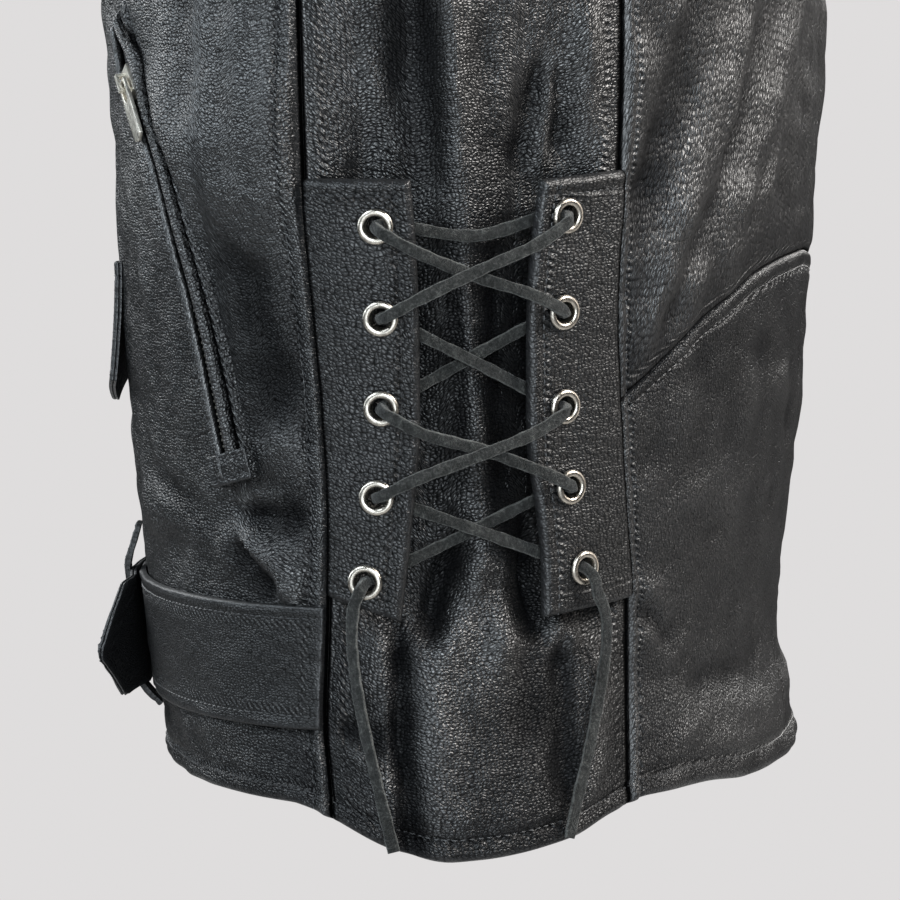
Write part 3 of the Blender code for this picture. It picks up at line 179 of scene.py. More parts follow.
CREASE_COLUMNS = "arc0 height0 arc1 height1 half_width rise bow lean"
FRONT_CREASES = table(
    CREASE_COLUMNS,
    (-118, 128, -60, 110, 4.5, -1.6, 3, 0.3),
    (-47, 108, -27, 84, 5.2, -4.6, 2, -0.2),
    (-46, 115, -15, 80, 5.8, 4.6, 2, 0.2),
    (-46, 117, -12, 115, 4.8, -3.4, -2, 0.2),
    (-52, 124, -24, 120, 5, 2.2, 2, 0),
    (-42, 220, -22, 145, 8.5, -2.4, 2, 0),
    (-30, 150, -12, 128, 6, 1.8, 2, 0),
    (-110, 244, 10, 250, 29, 6, 4, 0),
    (-60, 310, -62, 245, 8, -2, 4, -0.2),
    (-24, 330, -60, 318, 7, 1.4, 2, 0),
    (-130, 245, -100, 185, 7, 1.2, 3, 0),
    (-150, 330, -60, 395, 10, 2.2, 6, 0.2),
    (-140, 365, -80, 420, 8, -2, 4, 0),
    (-190, 250, -150, 150, 10, 1.6, 4, 0),
    (-215, 300, -165, 230, 8, -1.4, 4, 0),
    (-230, 190, -180, 110, 9, 1.4, 2, 0),
    (-100, 20, -40, 32, 6, 1, 2, 0),
)
SIDE_CREASES = table(
    CREASE_COLUMNS,
    (54, 120, 33, 62, 6, 3.6, 2, 0.2),
    (43, 106, 29, 68, 4.2, -5, -1, -0.2),
    (61, 115, 56, 56, 6.5, 3.4, 1, 0),
    (72.5, 115, 74, 70, 4, -5.6, 1, 0),
    (17.5, 79, 19, 30, 3.6, -4.6, 1, 0.2),
    (19.5, 40, 26, -6, 3.6, -4.2, 0, 0.2),
    (11, 78, 13, 56, 5.5, 2.2, 1, 0),
    (30, 76, 33, 10, 7.5, 2.2, 1, 0),
    (-4, 38, 15, 33, 4.5, -2.2, 1, 0.2),
    (2, 31, 21, 15, 4.5, 2.2, 1, 0),
    (83, 72, 85, 10, 5.2, -4.2, -2, -0.2),
    (66, 72, 68, 28, 8.5, -2.6, 1, 0),
    (74, 79, 90, 70, 6.5, 3.2, 1, 0),
    (96, 66, 96, 12, 6, 2, 1, 0),
    (27, 340, 35, 232, 9, -4.4, 2, -0.35),
    (40, 330, 44, 220, 4, 2.2, 1, 0),
    (80, 280, 68.5, 235, 5, -3.2, 1, 0),
    (82, 280, 77, 233, 3.5, 2.2, 1, 0),
    (86, 276, 88, 240, 3.6, -2.6, 1, 0),
    (95, 310, 96, 236, 7, 2.4, 1, 0),
    (56, 300, 60, 235, 5.5, -1.6, -2, 0),
    (12, 280, 23, 240, 5, 1.2, 2, 0),
    (98, 310, 92, 250, 6, 1.4, 1, 0),
    (40, 370, 50, 315, 8, 1.8, 3, 0),
    (70, 375, 68, 325, 7, -1.6, 2, 0),
    (47, 225, 52, 125, 4, 1.4, -2, 0.3),
    (39, 215, 42, 120, 3.5, -1.2, 2, 0),
    (60, 215, 61, 120, 3.5, -1.2, -1, 0),
)
BACK_CREASES = table(
    CREASE_COLUMNS,
    (118, 172, 152, 236, 7.5, 2.6, 2, 0),
    (140, 176, 182, 242, 7.5, 2.4, 2, 0),
    (129, 176, 165, 240, 5.5, -2.2, 2, 0),
    (116, 208, 138, 260, 6, -2.2, 2, 0),
    (117, 300, 119, 238, 7.5, 2.2, 1, 0),
    (124, 205, 164, 286, 5, -1.4, 3, 0.3),
    (148, 213, 190, 278, 4, 1.2, 2, 0.2),
    (152, 206, 205, 276, 4.5, -1.3, 3, -0.2),
    (184, 208, 230, 264, 5, -1.4, 2, 0.2),
    (203, 218, 255, 286, 6, 1.4, 3, 0),
    (119, 176, 140, 205, 6, 1.2, 2, 0),
    (123, 320, 152, 290, 7, 1.4, 3, 0),
    (185, 350, 230, 315, 10, 2, 5, 0),
    (140, 390, 200, 430, 12, 2.4, 8, 0.2),
    (130, 365, 190, 395, 9, -2, 6, 0),
    (230, 470, 290, 445, 13, 1.6, 6, 0),
    (118, 90, 142, 70, 4.2, 1.4, 2, 0.2),
    (118, 81, 144, 60, 4, -1.4, 2, 0),
    (118, 72, 146, 52, 4.2, 1.2, 2, 0),
    (162, 13.7, 272.5, 13, 6, 1.4, 2, 0),
    (145, 120, 200, 105, 8, 1.2, 4, 0),
    (190, 150, 260, 160, 9, 1.2, 4, 0),
    (150, 42, 220, 46, 7, -1.2, 2, 0),
)
SLEEVE_CREASES = table(
    CREASE_COLUMNS,
    (-110, 20, 30, 90, 13, 3, 10, 0.2),
    (-120, 60, 10, 120, 11, -2.8, 8, 0),
    (120, 20, -20, 100, 13, 2.8, -10, -0.2),
    (120, 70, 20, 130, 10, -2.4, -8, 0),
    (-110, 250, 20, 275, 9, -3.4, 8, 0.2),
    (-110, 280, 50, 300, 10, 3.6, 8, -0.2),
    (-110, 305, 40, 325, 8.5, -3.4, 6, 0.2),
    (-110, 335, 30, 345, 9.5, 3, 5, 0),
    (-105, 365, 10, 370, 8, -2.4, 4, 0),
    (90, 190, 0, 240, 11, 2, 6, 0),
    (80, 400, -20, 445, 9, 1.8, 6, 0),
    (-70, 430, 30, 470, 8, -1.6, 5, 0),
    (-60, 500, 60, 520, 7, 1.4, 4, 0),
)

# Side panel form: rises and the heights over which each comes in and goes out

LACED_SINK = 0.0120
LACED_RIDGE = 0.0076
HEM_PUFF = 0.0060
GATHER_RIDGE = 0.0030
GATHER_TROUGH = 0.0035
LACED_RANGE = (0.066, 0.092, 0.200, 0.330)
HEM_RANGE = (-0.03, 0.02, 0.042, 0.076)
GATHER_RANGE = (0.245, 0.275, 0.33, 0.38)

# Lacing: flap edges and eyelets, the lace's route (from, to, face, level, sag) and the free ends

FLAP_ROWS = table(
    "height front rear",
    (80, 20.3, 70.8), (98, 22.6, 70.8), (116, 24.7, 69.2), (145, 27.7, 65.5), (170, 28.4, 65.8),
    (194, 28.8, 66.7), (217, 28.4, 69.3), (237, 27.4, 72.5),
)
FLAP_SLOPES = {"front": (0.0085, 0.0), "rear": (0.0040, 0.0035)}
FLAP_WORDS = {"F": "front", "R": "rear"}
EYELETS = {
    "F": table("height arc", (220.8, 15.4), (188.7, 16), (156.8, 15.2), (124.8, 12.9), (94.3, 8.5)),
    "R": table("height arc", (224.5, 82.1), (190.4, 80), (156.6, 79.7), (127.3, 81.8), (97.5, 87.8)),
}
EYELET_HOLE = 0.0049
LACE_WIDTH = 0.0044
LACE_THICK = 0.0018
LACE_ROUTE = [
    ("F5", "R4", -1, -0.0018, 0.0),
    ("R4", "F3", 1, 0.0080, 0.0),
    ("F3", "R2", -1, -0.0018, 0.0),
    ("R2", "F1", 1, 0.0068, 0.0020),
    ("F1", "R1", -1, -0.0010, 0.0060),
    ("R1", "F2", 1, 0.0106, 0.0),
    ("F2", "R3", -1, 0.0014, 0.0),
    ("R3", "F4", 1, 0.0116, 0.0),
    ("F4", "R5", -1, 0.0014, 0.0),
]
FRONT_BEND = [(0.0, 0.0015), (0.0009, 0.0034), (0.0024, 0.0051), (0.0050, 0.0060), (0.0185, 0.0048)]
BACK_BEND = [(0.0, -0.0013), (0.0009, -0.0027), (0.0026, -0.0043), (0.0055, -0.0048)]
LACE_PART = -0.0002
LACE_END_PART = 0.0004
END_ON_CLOTH = 0.070
FRONT_END = table(
    "height arc out",
    (86, 5, 9.4), (77, 4.1, 8.5), (66.5, 4.1, 6), (47.3, 6.6, 4), (22.7, 12.5, 3.6), (-2, 19.1, 4),
)
REAR_END = table(
    "height arc out",
    (89, 91, 9.4), (80, 95.5, 8.5), (66.2, 97.8, 5.8), (48, 94, 4), (32.1, 90.2, 3.8), (11.5, 84.5, 3.6),
    (-0.5, 82, 4),
)

# Pocket zips, sliders (boxes in millimetres) and pull tabs

POCKET_LINE = table("height arc", (134.5, -46.5), (186, -59.8), (240, -80), (290, -112.5))
POCKET_END = 0.045
WELT_HALF = 0.0085
SLIDER_STATION = 0.89
SLIDER_BOXES = np.array((
    ((-4.6, -5.5, 0.4), (4.6, 5.5, 3.2)),
    ((-1.1, 2.4, 3.0), (1.1, 3.6, 6.4)),
    ((-1.1, -3.6, 3.0), (1.1, -2.4, 6.4)),
    ((-1.1, -3.6, 5.8), (1.1, 3.6, 6.8)),
)) / 1000
PULL_TAB = table(
    "across along eye_across eye_along",
    (3.6, 0.8, 2.1, -0.8), (-3.6, 0.8, -2.1, -0.8), (-4.2, -12, -2.1, -4), (-3.6, -23, -1.8, -7.5),
    (0, -24.5, 0, -8), (3.6, -23, 1.8, -7.5), (4.2, -12, 2.1, -4),
)
PULL_LEVEL = 0.0046
PULL_THICK = 0.0014

# Belt, buckle, loops and coin flap

HEEL_BAR = 0.004
HEEL_LEVEL = 0.0053
FRONT_BAR = -0.042
FRONT_LEVEL = 0.0092
STRAP_OVER = table(
    "x lift",
    (-78, 0.8), (-66, 0.9), (-53, 1), (-42, 1.8), (-30, 4), (-18, 7), (-7, 9.3), (4, 10.2), (14, 9),
    (26, 6.2), (38, 4.6), (50, 4.4), (85, 4.4), (95, 4.6),
)
BELT_TIP = table(
    "x y top bottom",
    (107, -110, 82.5, 37.7), (116, -111.6, 80.5, 35.7), (126, -113.3, 69, 45), (135, -115, 56, 52.2),
)
BUCKLE_SIDE = table("share drop", (0, 5), (0.03, 1.5), (0.11, 0), (0.89, 0), (0.97, 1.5), (1, 5))
BUCKLE_HALF = 0.0275
BUCKLE_BAR = 0.0021
PRONG_BAR = 0.0015
PRONG_HALF = 0.0024
ROLL_HALF = 0.0075
ROLL_SHIFT = 0.0125
BAR_HOLE = 0.0026
LOOP_X = 0.086
LOOP_HALF = 0.0070
LOOP_ROWS = table(
    "height share", (30, 0), (33.8, 0.5), (37.8, 0.95), (62, 1), (87, 0.95), (94, 0.45), (101.5, 0)
)
COIN_START = 0.042
COIN_END = 0.124
COIN_TOP = 0.2065
COIN_DROP = 0.046
COIN_POINT = 0.010
COIN_STAND = 0.0052
COIN_THICK = 0.0026

# Sleeves, lapels and collar

SLEEVE_ROWS = table(
    "reach half_height half_depth forward",
    (0, 90, 90, 0), (40, 83, 85, 0), (90, 75, 78, 0), (150, 69, 72, 1), (225, 65, 66, 5), (300, 64, 62, 12),
    (380, 58, 58, 32), (470, 52, 52, 62), (560, 47, 47, 98),
)
ARM_DROOP = math.radians(14)
ARM_FORWARD = math.radians(8)
LAPEL_COLUMNS = "fold_x fold_height edge_x edge_height"
LAPELS = {
    "left": table(
        LAPEL_COLUMNS,
        (-55, 382, -46, 380), (-34, 420, 18, 404), (-10, 465, 85, 438), (12, 505, 128, 470),
        (34, 545, 138, 506), (50, 574, 108, 548), (61, 594, 88, 580),
    ),
    "right": table(
        LAPEL_COLUMNS,
        (82, 382, 90, 380), (81, 420, 118, 408), (80, 465, 146, 440), (79, 505, 164, 470),
        (78, 545, 160, 506), (77, 574, 124, 548), (76, 592, 98, 580),
    ),
}
LAPEL_LIFT = 0.0014
LAPEL_ROLL = 0.0022
COLLAR_STAND = table("outward up", (0, 0.8), (-2, 15), (1, 29), (8, 36), (16, 34))
COLLAR_SLOPES = table("turn slope", (0, 80), (60, 62), (90, 46), (120, 62))
COLLAR_FALL = 0.054
COLLAR_END = 118

# Curves through rows


def curve(rows, column, at):
    """Smooth curve of a column over a table's first one that doesn't overshoot, held at its ends."""
    knots = next(iter(rows.values()))
    values = rows[column]
    rates = np.diff(values) / np.diff(knots)
    product = rates[:-1] * rates[1:]
    total = np.where(product > 0, rates[:-1] + rates[1:], 1.0)
    inside = np.where(product > 0, 2 * product / total, 0.0)
    slopes = np.concatenate(([rates[0]], inside, [rates[-1]]))
    at = np.clip(at, knots[0], knots[-1])
    i = np.clip(np.searchsorted(knots, at, side="right") - 1, 0, len(knots) - 2)
    width = knots[i + 1] - knots[i]
    t = (at - knots[i]) / width
    start = (1 + 2 * t) * (1 - t) ** 2 * values[i] + t * (1 - t) ** 2 * width * slopes[i]
    return start + t * t * (3 - 2 * t) * values[i + 1] + t * t * (t - 1) * width * slopes[i + 1]


def through(points, steps, closed=False):
    """Smooth path through points, with steps to each stretch."""
    points = np.asarray(points, float)
    count = len(points)
    picks = np.arange(count if closed else count - 1)
    near = [(picks + k) % count if closed else np.clip(picks + k, 0, count - 1) for k in (-1, 0, 1, 2)]
    p0, p1, p2, p3 = [points[n][:, None, :] for n in near]
    t = (np.arange(steps) / steps)[None, :, None]
    bow = 2 * p0 - 5 * p1 + 4 * p2 - p3
    twist = 3 * p1 - p0 - 3 * p2 + p3
    path = (p1 + 0.5 * ((p2 - p0) * t + bow * t * t + twist * t ** 3)).reshape(-1, points.shape[1])
    return path if closed else np.vstack((path, points[-1:]))


def ramp(start, end, at):
    """Smooth step from 0 at start to 1 at end."""
    t = np.clip((at - start) / (end - start), 0.0, 1.0)
    return t * t * (3 - 2 * t)


def window(start, full, fade, end, at):
    """Smooth step up from start to full and down again from fade to end."""
    return ramp(start, full, at) * (1 - ramp(fade, end, at))


def bump(middle, half_width, at):
    """Soft ridge of height 1."""
    return np.exp(-(((at - middle) / half_width) ** 2))


def rounded(distance, radius):
    """Fall of a rounded edge, from 1 at the edge to 0 at its radius."""
    inside = np.clip(1 - distance / radius, 0.0, 1.0)
    return 1 - np.sqrt(1 - inside ** 2)


def unit(vectors):
    return vectors / np.maximum(np.linalg.norm(vectors, axis=-1, keepdims=True), 1e-12)


def lengths(points):
    """Running length along a path."""
    return np.concatenate(([0.0], np.cumsum(np.linalg.norm(np.diff(points, axis=0), axis=1))))


def sampled(points, at, run=None):
    """Points at running lengths along a path, or values along another path's run."""
    run = lengths(points) if run is None else run
    return np.stack([np.interp(at, run, column) for column in points.T], axis=-1)


# Body surface: a fine grid of rings, by height and by share of the way round

RING_STEP = 0.001
QUARTER = 240
RING_HEIGHTS = np.arange(-0.030, NECK_HEIGHT + RING_STEP / 2, RING_STEP)


def make_rings():
    """Points and normals of the left half from the centre front to the centre back, and the arcs there."""
    width, front, back, square = [curve(BODY, c, RING_HEIGHTS)[:, None] for c in list(BODY)[1:]]
    turn = np.linspace(0, math.pi, 4 * QUARTER + 1)[None, :]
    x = width * np.maximum(np.sin(turn), 0) ** (2 / square)
    ahead = np.abs(np.cos(turn)) ** (2 / square)
    y = np.where(np.cos(turn) > 0, -front * ahead, back * ahead)
    arcs = np.cumsum(np.hypot(np.diff(x, axis=1), np.diff(y, axis=1)), axis=1)
    arcs = np.hstack((np.zeros((len(RING_HEIGHTS), 1)), arcs))
    sides = arcs[:, 2 * QUARTER]
    fulls = arcs[:, -1]
    points = np.zeros((len(RING_HEIGHTS), 2 * QUARTER + 1, 3))
    points[..., 2] = RING_HEIGHTS[:, None] - HELD_HEIGHT
    for i in range(len(RING_HEIGHTS)):
        first = np.linspace(0, sides[i], QUARTER + 1)
        at = np.concatenate((first, np.linspace(sides[i], fulls[i], QUARTER + 1)[1:]))
        points[i, :, 0] = np.interp(at, arcs[i], x[i])
        points[i, :, 1] = np.interp(at, arcs[i], y[i])
    normals = np.cross(np.gradient(points, axis=1), np.gradient(points, axis=0))
    normals[:, (0, -1), 0] = 0
    return points, unit(normals), sides, fulls


RING_POINTS, RING_NORMALS, RING_SIDES, RING_FULLS = make_rings()


def side_line(height):
    return np.interp(height, RING_HEIGHTS, RING_SIDES)


def ring_length(height):
    return np.interp(height, RING_HEIGHTS, RING_FULLS)


def share_of(height, arc):
    """Share of the way round (0 centre front, 1 side line, 2 centre back) and the half it lies in."""
    side = side_line(height)
    full = ring_length(height)
    half = np.where(arc < 0, -1.0, 1.0)
    size = np.abs(arc)
    over = size > full
    size = np.where(over, 2 * full - size, size)
    half = np.where(over, -half, half)
    return np.where(size <= side, size / side, 1 + (size - side) / (full - side)), half


def ring_value(grid, height, share):
    """Value of a grid of rings between its places."""
    row = np.clip((height - RING_HEIGHTS[0]) / RING_STEP, 0, len(RING_HEIGHTS) - 1.001)
    column = np.clip(share * QUARTER, 0, 2 * QUARTER - 0.001)
    i = row.astype(int)
    j = column.astype(int)
    a = (row - i)[..., None]
    b = (column - j)[..., None]
    low = grid[i, j] * (1 - b) + grid[i, j + 1] * b
    high = grid[i + 1, j] * (1 - b) + grid[i + 1, j + 1] * b
    return low * (1 - a) + high * a


def side_arc(height, arc):
    """Arc from the side line of the half a place lies in."""
    share, _ = share_of(height, arc)
    side = side_line(height)
    return np.where(share <= 1, (share - 1) * side, (share - 1) * (ring_length(height) - side))


def hem_shift(height, near):
    return curve(HEM_LINE, "height", near) * np.maximum(0.0, 1 - height / HEM_FADE)


def on_body(height, arc, hem=False):
    """Points and normals of the plain body; with hem, moved up to the hem line."""
    height, arc = np.broadcast_arrays(np.asarray(height, float), np.asarray(arc, float))
    share, half = share_of(height, arc)
    if hem:
        height = height + hem_shift(height, side_arc(height, arc))
    points = ring_value(RING_POINTS, height, share)
    normals = unit(ring_value(RING_NORMALS, height, share))
    points[..., 0] *= half
    normals[..., 0] *= half
    return points, normals


def skin(height, arc, out):
    """Points moved out from the plain body."""
    points, normals = on_body(height, arc)
    return points + np.asarray(out, float)[..., None] * normals


def arc_at_x(height, x):
    """Arc from the centre front to a place x across the chest."""
    height, x = np.broadcast_arrays(np.asarray(height, float), np.asarray(x, float))
    low = np.zeros(height.shape)
    high = side_line(height)
    for _ in range(36):
        middle = (low + high) / 2
        inside = on_body(height, middle)[0][..., 0] < np.abs(x)
        low = np.where(inside, middle, low)
        high = np.where(inside, high, middle)
    return np.copysign((low + high) / 2, x)


def edge_arc(height, column):
    """Front or rear edge of the side panel, as an arc from the side line."""
    return curve(PANEL_EDGES, column, height)


def each_line(rows, height, near):
    """Each row of a table of lines and its length, with shares along it and gaps beside it at places."""
    for values in zip(*rows.values()):
        row = dict(zip(rows, values))
        run = row["arc1"] - row["arc0"]
        climb = row["height1"] - row["height0"]
        length = math.hypot(run, climb)
        aside = near - row["arc0"]
        up = height - row["height0"]
        yield row, length, (aside * run + up * climb) / length ** 2, (up * run - aside * climb) / length


def fold_rise(height, near):
    """Sum of the solids' folds at an arc from the side line."""
    total = 0.0
    for fold, length, t, gap in each_line(FOLDS, height, near):
        past = (t - np.clip(t, 0.0, 1.0)) * length
        total = total + fold["rise"] * bump(0.0, fold["half_width"], np.hypot(gap, past))
    return total


def crease_rise(height, near, creases):
    """Sum of soft, uneven creases that taper at both ends."""
    total = 0.0
    for c, _, t, gap in each_line(creases, height, near):
        inside = np.clip(t, 0.0, 1.0)
        gap = gap - c["bow"] * 4 * inside * (1 - inside)
        width = c["half_width"] * (0.8 + 0.4 * inside) * np.where(gap > 0, 1 + c["lean"], 1 - c["lean"])
        uneven = 1 + 0.25 * np.sin(11 * inside + 300 * c["arc0"])
        total = total + c["rise"] * uneven * window(-0.10, 0.28, 0.72, 1.10, t) * bump(0.0, width, gap)
    return total


WAVE_COUNT = 22
WAVE_LENGTHS = (0.013, 0.050)


def waves(height, near, seed, size):
    """Slight unevenness of soft leather: a sum of long waves in all directions."""
    draw = np.random.default_rng(seed)
    total = 0.0
    for _ in range(WAVE_COUNT):
        turn = draw.uniform(0, math.pi)
        rate = 2 * math.pi / draw.uniform(*WAVE_LENGTHS)
        along = math.cos(turn) * height + math.sin(turn) * near
        total = total + np.sin(rate * along + draw.uniform(0, 6.28))
    return size * total / math.sqrt(WAVE_COUNT)


def side_rise(height, across):
    """Side panel's form between its seams: sunk behind the lacing, puffed under it, gathered above it."""
    hollow = LACED_RIDGE * bump(0.485, 0.115, across) - LACED_SINK * window(0.0, 0.2, 0.8, 1.0, across)
    puff = HEM_PUFF * np.sin(math.pi * across)
    gather = GATHER_RIDGE * bump(0.42, 0.07, across) - GATHER_TROUGH * bump(0.31, 0.07, across)
    laced, under, above = [window(*span, height) for span in (LACED_RANGE, HEM_RANGE, GATHER_RANGE)]
    return laced * hollow + under * puff + above * gather


def over_front(height, arc, out):
    """Points over the front, moved out from its cloth; what lies there bridges the troughs of folds."""
    return skin(height, arc, np.maximum(fold_rise(height, side_arc(height, arc)), 0.0) + out)


def chest_point(height, x, out):
    return over_front(height, arc_at_x(height, x), out)


# Meshes

X_AXIS, Y_AXIS, Z_AXIS = np.eye(3)
STEEP = 0.8


def add_object(name, points, faces, material, mirror=False, sharp=45, marks=None):
    """Object from points and faces, shaded smooth but for sharp edges; marks are numbers at the points."""
    points = np.array(points, float)
    if mirror:
        points[:, 0] *= -1
    mesh = bpy.data.meshes.new(name)
    mesh.from_pydata(points.tolist(), [], faces)
    if mirror:
        mesh.flip_normals()
    mesh.materials.append(material)
    for key, values in (marks or {}).items():
        mesh.attributes.new(key, "FLOAT", "POINT").data.foreach_set("value", values.ravel())
    mesh.shade_smooth()
    mesh.set_sharp_from_angle(angle=math.radians(sharp))
    return link(name, mesh)


def grid_normals(points):
    return unit(np.cross(np.gradient(points, axis=1), np.gradient(points, axis=0)))


def grid_distances(points):
    """Running lengths over a grid from its first column, to its last, from its first row and to its last."""
    across = np.linalg.norm(np.diff(points, axis=1), axis=2)
    across = np.hstack((np.zeros((len(points), 1)), np.cumsum(across, axis=1)))
    up = np.linalg.norm(np.diff(points, axis=0), axis=2)
    up = np.vstack((np.zeros((1, points.shape[1])), np.cumsum(up, axis=0)))
    return across, across[:, -1:] - across, up, up[-1:] - up


def quads(index):
    """Faces of a grid of point numbers."""
    corners = index[:-1, :-1], index[:-1, 1:], index[1:, 1:], index[1:, :-1]
    return np.stack(corners, axis=-1).reshape(-1, 4).tolist()


def shell(name, outer, inner, material, step=3, mirror=False, marks=None, lining=None):
    """Closed thin shell: a fine outer grid, a coarser inner grid from the same places, and a rim."""
    rows, columns = outer.shape[:2]
    pick_rows, pick_columns = [[*range(0, count - 1, step), count - 1] for count in (rows, columns)]
    picks = np.ix_(pick_rows, pick_columns)
    points = np.vstack((outer.reshape(-1, 3), inner[picks].reshape(-1, 3)))
    a = np.arange(rows * columns).reshape(rows, columns)
    b = np.arange(rows * columns, len(points)).reshape(len(pick_rows), -1)
    faces = quads(a)
    start = len(faces)
    faces += quads(b.T)
    end = len(faces)
    for i, (low, high) in enumerate(zip(pick_columns, pick_columns[1:])):
        faces.append(a[0, low:high + 1][::-1].tolist() + [b[0, i], b[0, i + 1]])
        faces.append(a[-1, low:high + 1].tolist() + [b[-1, i + 1], b[-1, i]])
    for i, (low, high) in enumerate(zip(pick_rows, pick_rows[1:])):
        faces.append(a[low:high + 1, 0].tolist() + [b[i + 1, 0], b[i, 0]])
        faces.append(a[low:high + 1, -1][::-1].tolist() + [b[i, -1], b[i + 1, -1]])
    across, _, up, _ = grid_distances(outer)
    marks = {"across": across, "up": up, **(marks or {})}
    marks = {key: np.concatenate((v.ravel(), v[picks].ravel())) for key, v in marks.items()}
    made = add_object(name, points, faces, material, mirror, 50, marks)
    if lining:
        made.data.materials.append(lining)
        index = np.zeros(len(faces), np.int32)
        index[start:end] = 1
        made.data.polygons.foreach_set("material_index", index)
    return made


def ring_faces(count, sides, closed=False):
    """Faces between rings of points, with caps where the ends are open."""
    faces = []
    for i in range(count if closed else count - 1):
        j = (i + 1) % count
        for k in range(sides):
            m = (k + 1) % sides
            faces.append((i * sides + k, i * sides + m, j * sides + m, j * sides + k))
    if not closed:
        faces += [tuple(range(sides))[::-1], tuple(range((count - 1) * sides, count * sides))]
    return faces


def square_to(axis):
    """A direction at right angles to an axis."""
    start = Z_AXIS if abs(axis[2]) < STEEP else X_AXIS
    return unit(start - axis * start.dot(axis))


def frames_along(path, closed=False, lead=None):
    """Tangents and two cross directions along a path, turned little; lead draws the second direction."""
    ahead = np.roll(path, -1, axis=0) if closed else np.vstack((path[1:], path[-1:]))
    behind = np.roll(path, 1, axis=0) if closed else np.vstack((path[:1], path[:-1]))
    tangents = unit(ahead - behind)
    side = square_to(tangents[0])
    sides = []
    for i, tangent in enumerate(tangents):
        side = unit(side - tangent * side.dot(tangent))
        if lead is not None:
            wanted = np.cross(tangent, lead[i])
            weight = 0.35 * min(np.linalg.norm(wanted) ** 2, 1.0)
            wanted = unit(wanted)
            if wanted.dot(side) < 0 and i:
                wanted = -wanted
            side = unit(side * (1 - weight) + wanted * weight) if i else wanted
            side = unit(side - tangent * side.dot(tangent))
        sides.append(side)
    sides = np.array(sides)
    return tangents, sides, np.cross(tangents, sides)


def round_tube(path, radius, sides=16, closed=False):
    _, side, other = frames_along(path, closed)
    turn = 2 * math.pi * np.arange(sides)[None, :, None] / sides
    points = path[:, None] + radius * (np.cos(turn) * side[:, None] + np.sin(turn) * other[:, None])
    return points.reshape(-1, 3), ring_faces(len(path), sides, closed)


def joined(parts):
    """One list of points and faces from several."""
    points = []
    faces = []
    count = 0
    for part_points, part_faces in parts:
        points.append(part_points)
        faces += [tuple(i + count for i in face) for face in part_faces]
        count += len(part_points)
    return np.vstack(points), faces


def turned(profile, centre, axis, sides):
    """Closed ring turned from a profile of (radius, along the axis)."""
    side = square_to(axis)
    turn = 2 * math.pi * np.arange(sides)[:, None, None] / sides
    profile = np.asarray(profile, float)
    out = np.cos(turn) * side + np.sin(turn) * np.cross(axis, side)
    points = centre + profile[None, :, :1] * out + profile[None, :, 1:] * axis
    return points.reshape(-1, 3), [f[::-1] for f in ring_faces(sides, len(profile), True)]


BOX_FACES = ((0, 2, 3, 1), (4, 5, 7, 6), (0, 1, 5, 4), (2, 6, 7, 3), (0, 4, 6, 2), (1, 3, 7, 5))


def boxes(low, high, origins, across, along, out, taper=0.0):
    """Boxes in local frames; taper draws the outer face in."""
    low, high = np.array(low), np.array(high)
    corners = np.array([(x, y, z) for z in (0, 1) for y in (0, 1) for x in (0, 1)], float)
    local = low + corners * (high - low)
    middle = (low + high) / 2
    local = np.where(corners[:, 2:] > 0, middle + (local - middle) * (1 - taper, 1 - taper, 1), local)
    points = origins[:, None] + local[None, :, :1] * across[:, None] + local[None, :, 1:2] * along[:, None]
    points = points + local[None, :, 2:] * out[:, None]
    faces = [tuple(8 * i + k for k in face) for i in range(len(origins)) for face in BOX_FACES]
    return points.reshape(-1, 3), faces


def add_box(name, place, low, high, material, mirror=False):
    """Box in a local frame of (origin, across, along, out)."""
    points, faces = boxes(low, high, *[part[None] for part in place])
    return add_object(name, points, faces, material, mirror)


def bevelled(made, width):
    """Round an object's edges and keep the result as its mesh."""
    body = bmesh.new()
    body.from_mesh(made.data)
    bmesh.ops.recalc_face_normals(body, faces=body.faces)
    sharp = [e for e in body.edges if e.is_manifold and e.calc_face_angle() > 0.6]
    bmesh.ops.bevel(
        body, geom=sharp, offset=width, segments=2, profile=0.6, affect="EDGES", clamp_overlap=True
    )
    body.to_mesh(made.data)
    body.free()
    made.data.shade_smooth()
    made.data.set_sharp_from_angle(angle=math.radians(50))
    return made


def combine(target, tool, operation):
    """Join or cut a mesh with another and drop the other."""
    modifier = target.modifiers.new(operation.lower(), "BOOLEAN")
    modifier.operation = operation
    modifier.object = tool
    bpy.context.view_layer.update()
    graph = bpy.context.evaluated_depsgraph_get()
    mesh = bpy.data.meshes.new_from_object(target.evaluated_get(graph))
    target.modifiers.clear()
    target.data = mesh
    bpy.data.objects.remove(tool, do_unlink=True)


# Materials


def feed(made, inputs):
    """Set a node's inputs to values or to other nodes' outputs."""
    for key, value in inputs.items():
        if isinstance(value, Field):
            made.id_data.links.new(value.socket, made.inputs[key])
        else:
            made.inputs[key].default_value = value


